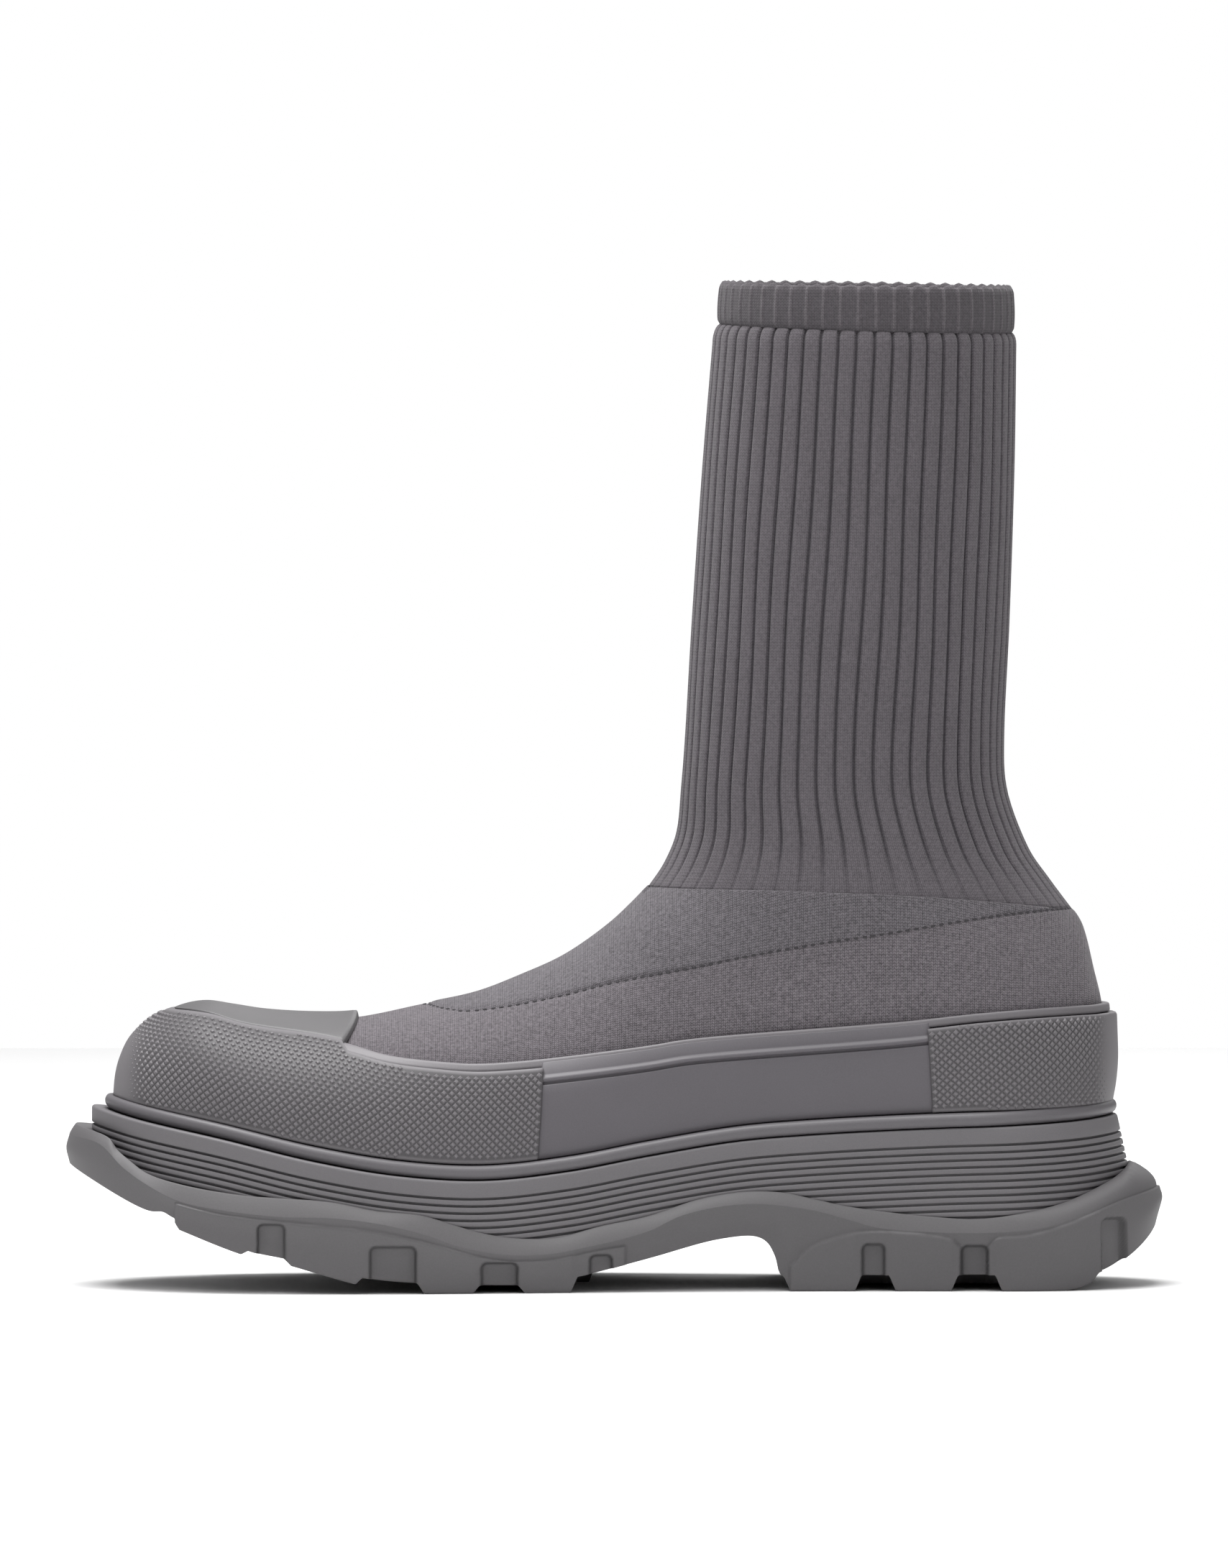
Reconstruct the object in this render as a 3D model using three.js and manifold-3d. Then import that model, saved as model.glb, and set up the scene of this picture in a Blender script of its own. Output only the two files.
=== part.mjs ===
// Knitted sock boot on a thick flared rubber sole, right foot, in millimetres.
// The toe points to -X, the inner side of the foot to -Y, the floor is Z = 0.
import * as THREE from "three";
import { mergeVertices } from "three/addons/utils/BufferGeometryUtils.js";
import Module from "manifold-3d";

const wasm = await Module();
wasm.setup();

// Driving dimensions
const lastLength = 294;
const toeReach = 18;
const heelReach = 17;
const ballWidth = 96;
const soleHeight = 52;
const throatHeight = 119.4;
const rimShare = 0.7035;
const heelDrop = 6.5;
const bootHeight = 300.5;
const shaftDepth = 91.2;
const shaftWidth = 77;
const knitWall = 2.2;
const foxingThick = 4;
const rimThick = 2;
const panelThick = 3.1;
const grooveThick = 2.4;
const capThick = 1.9;
const rimStrip = 2.6;
const ridgeStrip = 2.2;
const grooveStrip = 0.9;
const beadHeight = 4.2;
const beadReach = 2.2;
const midsoleWidth = 113;
const midsoleToe = 10.3;
const midsoleHeel = 3.6;
const midsoleFlare = 3.4;
const midsoleBand = 5.4;
const ribPitch = 2.5;
const ribDepth = 1.1;
const ribCount = 10;
const outsoleWidth = 121;
const outsoleTopWidth = 115;
const outsoleBaseWidth = 117;
const lugProud = 1.6;
const lugSplit = 9;
const lateralShift = 5.5;
const windowDepth = 1.8;
const lugLean = 2;
const insoleThick = 4;
const insoleEase = 1;
const gap = 0.3;

// Places along the shoe
const outsoleLength = toeReach + lastLength + heelReach;
const lastToe = toeReach - outsoleLength / 2;
const lastHeel = lastToe + lastLength;
const shaftHeight = bootHeight - throatHeight;
const rimHeight = rimShare * throatHeight;
const cutReach = 200;

const upperSteps = 46;
const soleSteps = 58;

// A smooth line through rows of [place along the last, height], as height at x
function sideLine(rows, height) {
  const points = rows.map((row) => new THREE.Vector3(lastToe + row.along * lastLength, 0, row.up * height));
  const curve = new THREE.CatmullRomCurve3(points, false, "centripetal");
  const fine = curve.getPoints(points.length * 12);
  return (x) => {
    if (x <= fine[0].x) return fine[0].z;
    const next = fine.findIndex((p) => p.x >= x);
    if (next < 1) return fine[fine.length - 1].z;
    const a = fine[next - 1];
    const b = fine[next];
    const share = b.x - a.x < 1e-9 ? 0 : (x - a.x) / (b.x - a.x);
    return a.z + (b.z - a.z) * share;
  };
}

// The last's top outline from the toe tip over the toe box and up the instep
const toeAndInstep = sideLine(
  [
    { along: 0.0, up: 0.4 },
    { along: 0.003, up: 0.53 },
    { along: 0.008, up: 0.585 },
    { along: 0.016, up: 0.628 },
    { along: 0.028, up: 0.661 },
    { along: 0.043, up: 0.683 },
    { along: 0.061, up: 0.697 },
    { along: 0.082, up: 0.7 },
    { along: 0.108, up: 0.688 },
    { along: 0.141, up: 0.6755 },
    { along: 0.192, up: 0.668 },
    { along: 0.235, up: 0.671 },
    { along: 0.302, up: 0.7035 },
    { along: 0.358, up: 0.733 },
    { along: 0.403, up: 0.7755 },
    { along: 0.448, up: 0.8266 },
    { along: 0.493, up: 0.9045 },
    { along: 0.5155, up: 0.9555 },
    { along: 0.533, up: 1.0 },
  ],
  throatHeight,
);

// Where the plain knit of the foot meets the ribs of the shaft
const ribLine = sideLine(
  [
    { along: 0.533, up: 1.0 },
    { along: 0.668, up: 1.002 },
    { along: 0.811, up: 0.988 },
    { along: 0.896, up: 0.969 },
    { along: 0.966, up: 1 - heelDrop / throatHeight },
  ],
  throatHeight,
);

// The heel's outline below the ribs
const heelLine = sideLine(
  [
    { along: 0.966, up: 1 - heelDrop / throatHeight },
    { along: 0.9695, up: 0.937 },
    { along: 0.976, up: 0.911 },
    { along: 0.981, up: 0.875 },
    { along: 0.9885, up: 0.796 },
    { along: 0.9965, up: 0.71 },
    { along: 0.9985, up: 0.628 },
    { along: 0.9995, up: 0.5 },
    { along: 1.0, up: 0.38 },
  ],
  throatHeight,
);

const throatX = lastToe + 0.533 * lastLength;
const heelCornerX = lastToe + 0.966 * lastLength;
const toePeakX = lastToe + 0.082 * lastLength;

function upperTop(x) {
  if (x < throatX) return toeAndInstep(x);
  return x < heelCornerX ? ribLine(x) : heelLine(x);
}

// Top of the midsole, which carries bead, upper and insole
const midsoleTop = sideLine(
  [
    { along: -0.037, up: 1.045 },
    { along: 0.012, up: 0.98 },
    { along: 0.098, up: 0.882 },
    { along: 0.194, up: 0.755 },
    { along: 0.28, up: 0.673 },
    { along: 0.366, up: 0.644 },
    { along: 0.452, up: 0.692 },
    { along: 0.532, up: 0.775 },
    { along: 0.623, up: 0.858 },
    { along: 0.698, up: 0.894 },
    { along: 0.823, up: 0.931 },
    { along: 0.91, up: 0.948 },
    { along: 0.975, up: 0.967 },
    { along: 1.016, up: 0.99 },
  ],
  soleHeight,
);

// Top of the foxing against the knit
const rimTop = sideLine(
  [
    { along: -0.02, up: 1.01 },
    { along: 0.033, up: 0.987 },
    { along: 0.082, up: 0.964 },
    { along: 0.123, up: 0.92 },
    { along: 0.22, up: 0.871 },
    { along: 0.268, up: 0.828 },
    { along: 0.313, up: 0.809 },
    { along: 0.358, up: 0.8 },
    { along: 0.403, up: 0.81 },
    { along: 0.448, up: 0.828 },
    { along: 0.532, up: 0.869 },
    { along: 0.576, up: 0.894 },
    { along: 0.796, up: 0.958 },
    { along: 0.867, up: 0.984 },
    { along: 0.938, up: 1.0 },
    { along: 1.02, up: 1.006 },
  ],
  rimHeight,
);

// Outsole lines: top edge, crest of the bevel, underside between the lugs, tread
const outsoleTop = sideLine(
  [
    { along: -0.052, up: 0.935 },
    { along: -0.016, up: 0.875 },
    { along: -0.008, up: 0.815 },
    { along: 0.007, up: 0.745 },
    { along: 0.024, up: 0.68 },
    { along: 0.056, up: 0.625 },
    { along: 0.118, up: 0.568 },
    { along: 0.21, up: 0.53 },
    { along: 0.258, up: 0.478 },
    { along: 0.302, up: 0.452 },
    { along: 0.341, up: 0.385 },
    { along: 0.366, up: 0.345 },
    { along: 0.399, up: 0.316 },
    { along: 0.441, up: 0.32 },
    { along: 0.485, up: 0.382 },
    { along: 0.532, up: 0.436 },
    { along: 0.585, up: 0.532 },
    { along: 0.632, up: 0.574 },
    { along: 0.67, up: 0.568 },
    { along: 0.698, up: 0.535 },
    { along: 0.735, up: 0.489 },
    { along: 0.781, up: 0.452 },
    { along: 0.823, up: 0.428 },
    { along: 0.867, up: 0.416 },
    { along: 0.91, up: 0.445 },
    { along: 0.953, up: 0.5 },
    { along: 0.985, up: 0.57 },
    { along: 1.013, up: 0.65 },
    { along: 1.026, up: 0.71 },
  ],
  soleHeight,
);

const crest = sideLine(
  [
    { along: -0.057, up: 0.875 },
    { along: -0.026, up: 0.84 },
    { along: -0.001, up: 0.71 },
    { along: 0.024, up: 0.615 },
    { along: 0.056, up: 0.528 },
    { along: 0.098, up: 0.482 },
    { along: 0.16, up: 0.445 },
    { along: 0.21, up: 0.439 },
    { along: 0.258, up: 0.407 },
    { along: 0.302, up: 0.349 },
    { along: 0.345, up: 0.266 },
    { along: 0.388, up: 0.224 },
    { along: 0.431, up: 0.224 },
    { along: 0.474, up: 0.266 },
    { along: 0.532, up: 0.349 },
    { along: 0.567, up: 0.439 },
    { along: 0.613, up: 0.495 },
    { along: 0.65, up: 0.503 },
    { along: 0.698, up: 0.47 },
    { along: 0.735, up: 0.416 },
    { along: 0.767, up: 0.366 },
    { along: 0.823, up: 0.341 },
    { along: 0.867, up: 0.336 },
    { along: 0.931, up: 0.361 },
    { along: 0.975, up: 0.428 },
    { along: 1.017, up: 0.515 },
    { along: 1.055, up: 0.57 },
  ],
  soleHeight,
);

const underside = sideLine(
  [
    { along: -0.06, up: 0.71 },
    { along: 0.024, up: 0.45 },
    { along: 0.05, up: 0.4 },
    { along: 0.128, up: 0.29 },
    { along: 0.165, up: 0.245 },
    { along: 0.245, up: 0.115 },
    { along: 0.3, up: 0.09 },
    { along: 0.465, up: 0.092 },
    { along: 0.532, up: 0.19 },
    { along: 0.605, up: 0.3 },
    { along: 0.642, up: 0.31 },
    { along: 0.664, up: 0.26 },
    { along: 0.685, up: 0.12 },
    { along: 0.71, up: 0.09 },
    { along: 0.96, up: 0.095 },
    { along: 0.99, up: 0.1 },
    { along: 1.016, up: 0.17 },
    { along: 1.04, up: 0.29 },
    { along: 1.056, up: 0.43 },
  ],
  soleHeight,
);

const treadLine = sideLine(
  [
    { along: -0.06, up: 0.71 },
    { along: 0.024, up: 0.44 },
    { along: 0.128, up: 0.2 },
    { along: 0.223, up: 0.05 },
    { along: 0.3, up: 0.0 },
    { along: 0.5, up: 0.0 },
    { along: 0.66, up: 0.0 },
    { along: 0.955, up: 0.0 },
    { along: 0.977, up: 0.03 },
    { along: 1.03, up: 0.24 },
  ],
  soleHeight,
);
const tread = (x) => Math.max(0, treadLine(x));

// Plan of the last: centre line (towards the outer side) and half width as shares of the
// ball width, and how square the cross-section is
const plan = [
  { along: 0.0, centre: -0.052, half: 0.5, square: 3.0 },
  { along: 0.15, centre: -0.032, half: 0.5, square: 3.0 },
  { along: 0.3, centre: 0.003, half: 0.5, square: 2.9 },
  { along: 0.45, centre: 0.03, half: 0.462, square: 2.6 },
  { along: 0.6, centre: 0.036, half: 0.405, square: 2.5 },
  { along: 0.75, centre: 0.018, half: 0.372, square: 2.5 },
  { along: 0.88, centre: 0.0, half: 0.365, square: 2.5 },
  { along: 1.0, centre: 0.0, half: 0.36, square: 2.5 },
];
const toeRun = 0.33;
const toeRound = 2.6;
const heelRun = 0.13;
const heelRound = 2.0;

// Reads a column of a table between its rows, smoothly
function column(rows, key, at, value) {
  const last = rows.length - 1;
  const v = Math.min(Math.max(value, rows[0][at]), rows[last][at]);
  let i = 0;
  while (i < last - 1 && v > rows[i + 1][at]) i++;
  const slope = (k) => {
    const lo = rows[Math.max(0, k - 1)];
    const hi = rows[Math.min(last, k + 1)];
    return (hi[key] - lo[key]) / (hi[at] - lo[at]);
  };
  const run = rows[i + 1][at] - rows[i][at];
  const t = (v - rows[i][at]) / run;
  const t2 = t * t;
  const t3 = t2 * t;
  return (
    (2 * t3 - 3 * t2 + 1) * rows[i][key] +
    (t3 - 2 * t2 + t) * run * slope(i) +
    (3 * t2 - 2 * t3) * rows[i + 1][key] +
    (t3 - t2) * run * slope(i + 1)
  );
}

function rounding(share, run, power) {
  if (share >= run) return 1;
  return Math.sqrt(Math.max(0, 1 - Math.pow(1 - Math.max(0, share) / run, power)));
}

// Centre and half width of a plan outline at a share of its length, for a given ball width
function planAt(share, width) {
  const ends = rounding(share, toeRun, toeRound) * rounding(1 - share, heelRun, heelRound);
  return {
    centre: column(plan, "centre", "along", share) * ballWidth,
    half: column(plan, "half", "along", share) * width * ends,
  };
}

const smooth = (t) => {
  const c = Math.min(1, Math.max(0, t));
  return c * c * (3 - 2 * c);
};

// Shares of a ring's length that lie evenly round the plan, toe tip first, heel end last
function evenShares(steps, length, width) {
  const fine = 2000;
  const lengths = [0];
  const shareOf = (i) => (1 - Math.cos((Math.PI * i) / fine)) / 2;
  for (let i = 1; i <= fine; i++) {
    const a = shareOf(i - 1);
    const b = shareOf(i);
    const dy = planAt(b, width).half - planAt(a, width).half;
    lengths.push(lengths[i - 1] + Math.hypot((b - a) * length, dy));
  }
  const shares = [];
  for (let k = 0; k <= steps / 2; k++) {
    const wanted = (lengths[fine] * k) / (steps / 2);
    shares.push(shareOf(Math.max(0, lengths.findIndex((l) => l >= wanted - 1e-9))));
  }
  shares[0] = 0;
  shares[steps / 2] = 1;
  return shares;
}

const upperShares = evenShares(upperSteps, lastLength, ballWidth);
const soleShares = evenShares(soleSteps, outsoleLength, outsoleWidth);

// A ring of points from shares: front point, inner side, heel point, outer side
function ringFrom(shares, place) {
  const half = shares.length - 1;
  const ring = [];
  for (let i = 0; i < 2 * half; i++) {
    const inner = i <= half;
    ring.push(place(shares[inner ? i : 2 * half - i], inner ? -1 : 1));
  }
  return ring;
}

// Sections of the shaft: height above the throat, heel side lower by drop, centre along the
// last, depth front to back and width
const shaftRows = [
  { up: 0.0, drop: 1.0, centre: 0.7495, depth: 1.395, width: 0.9 },
  { up: 0.039, drop: 0.75, centre: 0.7465, depth: 1.272, width: 0.885 },
  { up: 0.09, drop: 0.7, centre: 0.7418, depth: 1.16, width: 0.875 },
  { up: 0.163, drop: 0.2, centre: 0.7337, depth: 1.077, width: 0.875 },
  { up: 0.246, drop: 0.2, centre: 0.7338, depth: 1.052, width: 0.895 },
  { up: 0.44, drop: 0.0, centre: 0.74, depth: 1.047, width: 0.95 },
  { up: 0.7, drop: 0.0, centre: 0.748, depth: 1.028, width: 0.99 },
  { up: 0.906, drop: 0.0, centre: 0.7541, depth: 1.0, width: 1.0 },
  { up: 0.923, drop: 0.1, centre: 0.7544, depth: 0.98, width: 0.98 },
  { up: 0.94, drop: 0.43, centre: 0.7554, depth: 0.963, width: 0.962 },
  { up: 1.0, drop: 0.17, centre: 0.756, depth: 0.953, width: 0.955 },
];

function shaftRing(row) {
  const centre = lastToe + row.centre * lastLength;
  const depth = row.depth * shaftDepth;
  const width = row.width * shaftWidth;
  const front = throatHeight + row.up * shaftHeight;
  return ringFrom(upperShares, (share, side) => {
    const turn = Math.acos(1 - 2 * share);
    return new THREE.Vector3(
      centre + depth * (share - 0.5),
      (side * width * Math.sin(turn)) / 2,
      front - row.drop * heelDrop * share,
    );
  });
}

// Half width of the ribbed shaft where it starts, at x
function shaftFoot(x) {
  const row = shaftRows[0];
  const from = (x - lastToe - row.centre * lastLength) / ((row.depth * shaftDepth) / 2);
  return ((row.width * shaftWidth) / 2) * Math.sqrt(Math.max(0, 1 - from * from));
}

// A point of the foot's outer surface, from its side view place
const lowEdge = (x) => midsoleTop(x) + gap;
const tuckStart = 0.59 * throatHeight;
const tuckRun = 19;
const tuckDepth = 3;
function footPoint(x, z, side) {
  const share = (x - lastToe) / lastLength;
  const p = planAt(share, ballWidth);
  const low = lowEdge(x);
  const t = Math.min(1, Math.max(0, (z - low) / Math.max(1e-6, upperTop(x) - low)));
  const square = column(plan, "square", "along", share);
  const stays = x > throatX && x < heelCornerX ? Math.min(1, shaftFoot(x) / p.half) : 0;
  const half = p.half * Math.sqrt(Math.max(0, 1 - (1 - stays * stays) * Math.pow(t, square)));
  const centre = p.centre * (1 - smooth((share - 0.3) / 0.23) * t * t);
  const tuck = tuckDepth * smooth((share - 0.78) / 0.22) * Math.pow(Math.max(0, tuckStart - z) / tuckRun, 2);
  return new THREE.Vector3(x - tuck, centre + side * half, z);
}

function crossing(f, from, to) {
  let a = from;
  let b = to;
  for (let k = 0; k < 40; k++) {
    const m = (a + b) / 2;
    if (f(m) < 0) a = m;
    else b = m;
  }
  return (a + b) / 2;
}

// A ring round the foot on a line given in side view, from its toe end to its heel end
function footRing(line, front) {
  const from = front ?? crossing((x) => upperTop(x) - line(x), lastToe, toePeakX);
  const to = crossing((x) => line(x) - upperTop(x), heelCornerX, lastHeel);
  return ringFrom(upperShares, (share, side) => {
    const x = from + share * (to - from);
    return footPoint(x, Math.min(line(x), upperTop(x)), side);
  });
}

// Rings above the foxing climb the toe box and the instep at their front end
const rimFront = crossing((x) => upperTop(x) - rimTop(x), lastToe, toePeakX);
const climb = 4;
function vampRing(level) {
  const front = rimFront + level * (throatX - rimFront);
  const ceiling = (x) => (x < throatX ? toeAndInstep(x) : ribLine(Math.min(x, heelCornerX)));
  const line = (x) => {
    const share = Math.min(1, Math.max(0, (x - front) / (lastHeel - front)));
    const rise = level + (1 - level) * Math.pow(1 - share, climb);
    return rimTop(x) + rise * (ceiling(x) - rimTop(x));
  };
  return footRing(line, front);
}

const between = (low, high, share) => (x) => low(x) + share * (high(x) - low(x));
const foxingLevels = [0, 0.45, 0.8, 1];
const vampLevels = [0.08, 0.2, 0.36, 0.56, 0.8];
const footRings = [
  ...foxingLevels.map((level) => footRing(between(lowEdge, rimTop, level))),
  ...vampLevels.map((level) => vampRing(level)),
];
const shaftRings = shaftRows.map(shaftRing);

// Moves each point of a grid of rings along the surface normal
function offset(rings, distance) {
  const rows = rings.length;
  const steps = rings[0].length;
  return rings.map((ring, j) =>
    ring.map((p, i) => {
      const across = ring[(i + 1) % steps].clone().sub(ring[(i + steps - 1) % steps]);
      const upwards = rings[Math.min(rows - 1, j + 1)][i].clone().sub(rings[Math.max(0, j - 1)][i]);
      const normal = across.cross(upwards).normalize();
      return p.clone().addScaledVector(normal, distance);
    }),
  );
}

// Solid from vertices and triangles
function solid(points, faces) {
  const geometry = new THREE.BufferGeometry().setFromPoints(points);
  geometry.setIndex(faces);
  return solidOf(geometry);
}

function solidOf(geometry) {
  geometry.deleteAttribute("normal");
  geometry.deleteAttribute("uv");
  const merged = mergeVertices(geometry, 1e-4);
  return new wasm.Manifold(
    new wasm.Mesh({
      numProp: 3,
      vertProperties: merged.attributes.position.array,
      triVerts: new Uint32Array(merged.index.array),
    }),
  );
}

// Walls between neighbouring rings
function walls(ringCount, steps, closed) {
  const faces = [];
  for (let j = 0; j < ringCount - (closed ? 0 : 1); j++) {
    const low = j * steps;
    const high = ((j + 1) % ringCount) * steps;
    for (let i = 0; i < steps; i++) {
      const n = (i + 1) % steps;
      faces.push(low + i, low + n, high + n, low + i, high + n, high + i);
    }
  }
  return faces;
}

// Flat strips from the inner to the outer side that close a ring
function lid(start, steps, up) {
  const faces = [];
  for (let i = 0; i < steps / 2; i++) {
    const a = start + i;
    const b = start + i + 1;
    const c = start + ((steps - i) % steps);
    const d = start + ((steps - i - 1) % steps);
    if (b !== d) faces.push(...(up ? [a, b, d] : [a, d, b]));
    if (a !== c) faces.push(...(up ? [a, d, c] : [a, c, d]));
  }
  return faces;
}

// A solid stack of rings, lowest first
function stack(rings) {
  const steps = rings[0].length;
  return solid(rings.flat(), [
    ...walls(rings.length, steps, false),
    ...lid(0, steps, false),
    ...lid((rings.length - 1) * steps, steps, true),
  ]);
}

// A closed band whose section is a loop of rings
function loop(rings) {
  return solid(rings.flat(), walls(rings.length, rings[0].length, true));
}

// A block with a side view outline, between two places across the shoe
function block(outline, from = -cutReach, to = cutReach) {
  const shape = new THREE.Shape(outline.map(([x, z]) => new THREE.Vector2(x, z)));
  const geometry = new THREE.ExtrudeGeometry(shape, { depth: to - from, bevelEnabled: false });
  geometry.applyMatrix4(new THREE.Matrix4().makeRotationX(Math.PI / 2));
  geometry.translate(0, to, 0);
  return solidOf(geometry);
}

// Points along a side view line, at the same places for every line
const linePitch = 14;
function linePoints(line, from, to) {
  const xs = [from];
  for (let k = Math.floor(from / linePitch) + 1; k * linePitch < to; k++) xs.push(k * linePitch);
  return [...xs, to].map((x) => [x, line(x)]);
}

const bandOutline = (low, high, from, to) => [
  ...linePoints(low, from, to),
  ...linePoints(high, from, to).reverse(),
];

// The foot grown outwards by a distance, as a closed form that overlays are cut from
const footForms = new Map();
function footForm(distance) {
  if (!footForms.has(distance)) {
    footForms.set(distance, stack(offset([...footRings, shaftRings[0]], distance)));
  }
  return footForms.get(distance);
}

function overlay(thick, outline, from, to) {
  return footForm(gap + thick).subtract(footForm(gap)).intersect(block(outline, from, to));
}

// Upper
function upper() {
  const outer = [...footRings, ...shaftRings];
  // the inside needs only every other ring of the vamp
  const kept = (j) => j < foxingLevels.length || j >= footRings.length || (j - foxingLevels.length) % 2 === 0;
  const inner = offset(outer, -knitWall).filter((_, j) => kept(j));
  inner[0].forEach((p, i) => (p.z = outer[0][i].z));
  inner[inner.length - 1].forEach((p, i) => (p.z = outer[outer.length - 1][i].z));
  return loop([...outer, ...inner.reverse()]);
}

// Overlay lines
const foxingLow = (x) => lowEdge(x) + beadHeight + gap;
const rimLow = (x) => rimTop(x) - rimStrip;
const sideX = (share) => lastToe + share * lastLength;
const capRearTop = sideX(0.236);
const capRearLow = sideX(0.221);
const bumperRear = sideX(0.427);
const bumperLean = -2.2;
const counterFront = sideX(0.8165);
const counterLean = 2;
const far = outsoleLength;

function toeCap() {
  const above = rimHeight * 1.3;
  return overlay(capThick, [
    ...linePoints((x) => rimTop(x) + gap, -far, capRearLow),
    [capRearTop, rimHeight],
    [capRearTop, above],
    [-far, above],
  ]);
}

function toeBumper() {
  return overlay(foxingThick, [
    ...linePoints(foxingLow, -far, bumperRear + bumperLean),
    ...linePoints((x) => rimLow(x) - gap, capRearLow, bumperRear).reverse(),
    ...linePoints(rimTop, -far, capRearLow).reverse(),
  ]);
}

function foxingRim() {
  return overlay(rimThick, bandOutline(rimLow, rimTop, capRearLow + gap, far));
}

function heelCounter() {
  return overlay(foxingThick, [
    ...linePoints(foxingLow, counterFront + counterLean, far),
    ...linePoints((x) => rimLow(x) - gap, counterFront, far).reverse(),
  ]);
}

function sideBand(from, to) {
  const start = bumperRear + gap;
  const end = counterFront - gap;
  const ridgeHigh = (x) => rimLow(x) - gap;
  const ridgeLow = (x) => ridgeHigh(x) - ridgeStrip;
  const grooveLow = (x) => ridgeLow(x) - grooveStrip;
  const panel = [
    ...linePoints(foxingLow, start + bumperLean, end + counterLean),
    ...linePoints(grooveLow, start, end).reverse(),
  ];
  const groove = bandOutline((x) => grooveLow(x) - gap, (x) => ridgeLow(x) + gap, start, end);
  return overlay(foxingThick, bandOutline(ridgeLow, ridgeHigh, start, end), from, to)
    .add(overlay(grooveThick, groove, from, to))
    .add(overlay(panelThick, panel, from, to));
}

// Rounded bead on the midsole's edge, its inner side against the upper
function weltBead() {
  const base = footRings[0];
  const top = footRing((x) => lowEdge(x) + beadHeight);
  const wall = offset([base, top], 1);
  const outwards = wall[0].map((p, i) => p.clone().sub(base[i]).setZ(0).normalize());
  const face = gap + foxingThick;
  const section = [
    { from: base, out: 2 * gap, up: 0 },
    { from: base, out: face + 0.45 * beadReach, up: 0 },
    { from: base, out: face + beadReach, up: 0.3 },
    { from: base, out: face + beadReach, up: 0.6 },
    { from: base, out: face + 0.55 * beadReach, up: 0.95 },
    { from: base, out: face, up: 1 },
    { from: top, out: 2 * gap, up: 1 },
  ];
  const rings = section.map((row) =>
    row.from.map((p, i) => {
      const moved = p.clone().addScaledVector(outwards[i], row.out);
      return moved.setZ(lowEdge(moved.x) + row.up * beadHeight);
    }),
  );
  return loop(rings);
}

// A ring round the sole between two ends on a side view line
function soleRing(line, front, back, width) {
  return ringFrom(soleShares, (share, side) => {
    const x = front + share * (back - front);
    const p = planAt(share, width);
    return new THREE.Vector3(x, p.centre + side * p.half, line(x));
  });
}

const outsoleFront = -outsoleLength / 2;
const outsoleBack = outsoleLength / 2;
const toeLedge = toeReach / 6;
const heelLedge = 0.55 * heelReach;
function outsoleTopRing() {
  return soleRing(outsoleTop, outsoleFront + toeLedge, outsoleBack - heelLedge, outsoleTopWidth);
}

// A ring on the rounded bevel between the top edge and the crest, by its share of the reach
function bevelRing(reach) {
  const top = { front: outsoleFront + toeLedge, back: outsoleBack - heelLedge };
  const low = { front: outsoleFront + 1, back: outsoleBack - 2 };
  const down = 1 - Math.sqrt(1 - reach * reach);
  return soleRing(
    between(outsoleTop, crest, down),
    top.front + reach * (low.front - top.front),
    top.back + reach * (low.back - top.back),
    outsoleTopWidth + reach * (outsoleWidth - outsoleTopWidth),
  );
}

// Midsole with ribs that follow its top edge, cut off by the outsole's wavy top
function midsole() {
  const flareRun = midsoleBand + ribCount * ribPitch;
  const section = [
    { depth: 0, out: 0 },
    { depth: midsoleBand - ribPitch / 2, out: 0 },
  ];
  for (let k = 0; k < ribCount; k++) {
    const depth = midsoleBand + k * ribPitch;
    section.push({ depth, out: -ribDepth }, { depth: depth + ribPitch / 2, out: 0 });
  }
  const rings = section.map((row) => {
    const flare = midsoleFlare * Math.min(1, (2 * row.depth) / flareRun);
    const front = lastToe - midsoleToe - row.out;
    const back = lastHeel + midsoleHeel + row.out + flare;
    return soleRing((x) => midsoleTop(x) - row.depth, front, back, midsoleWidth + 2 * row.out);
  });
  const seat = outsoleTopRing().slice(0, soleSteps / 2 + 1);
  const below = seat.map((p) => [p.x, p.z + gap]);
  const first = below[0];
  const last = below[below.length - 1];
  const ends = [
    [far, last[1]],
    [far, -cutReach],
    [-far, -cutReach],
    [-far, first[1]],
  ];
  return stack(rings.reverse()).subtract(block([...below, ...ends].reverse()));
}

// Lugs: place along the last, height of their side faces, and whether they shift on the
// outer side of the forefoot
const lugs = [
  { from: 0.052, to: 0.127, up: 0.42, shift: 1 },
  { from: 0.164, to: 0.243, up: 0.38, shift: 1 },
  { from: 0.299, to: 0.362, up: 0.25, shift: 1 },
  { from: 0.401, to: 0.461, up: 0.17, shift: 1 },
  { from: 0.671, to: 0.75, up: 0.33, shift: 0 },
  { from: 0.778, to: 0.848, up: 0.27, shift: 0 },
  { from: 0.886, to: 0.99, up: 0.3, shift: 0 },
];
// Windows in the side faces between the lugs
const windows = [
  { from: 0.137, to: 0.164, up: 0.4, shift: 1 },
  { from: 0.251, to: 0.297, up: 0.27, shift: 1 },
  { from: 0.364, to: 0.4, up: 0.175, shift: 1 },
  { from: 0.474, to: 0.496, up: 0.215, shift: 1 },
  { from: 0.751, to: 0.773, up: 0.27, shift: 0 },
  { from: 0.852, to: 0.878, up: 0.26, shift: 0 },
  { from: 0.993, to: 1.016, up: 0.41, shift: 0 },
];

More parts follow.
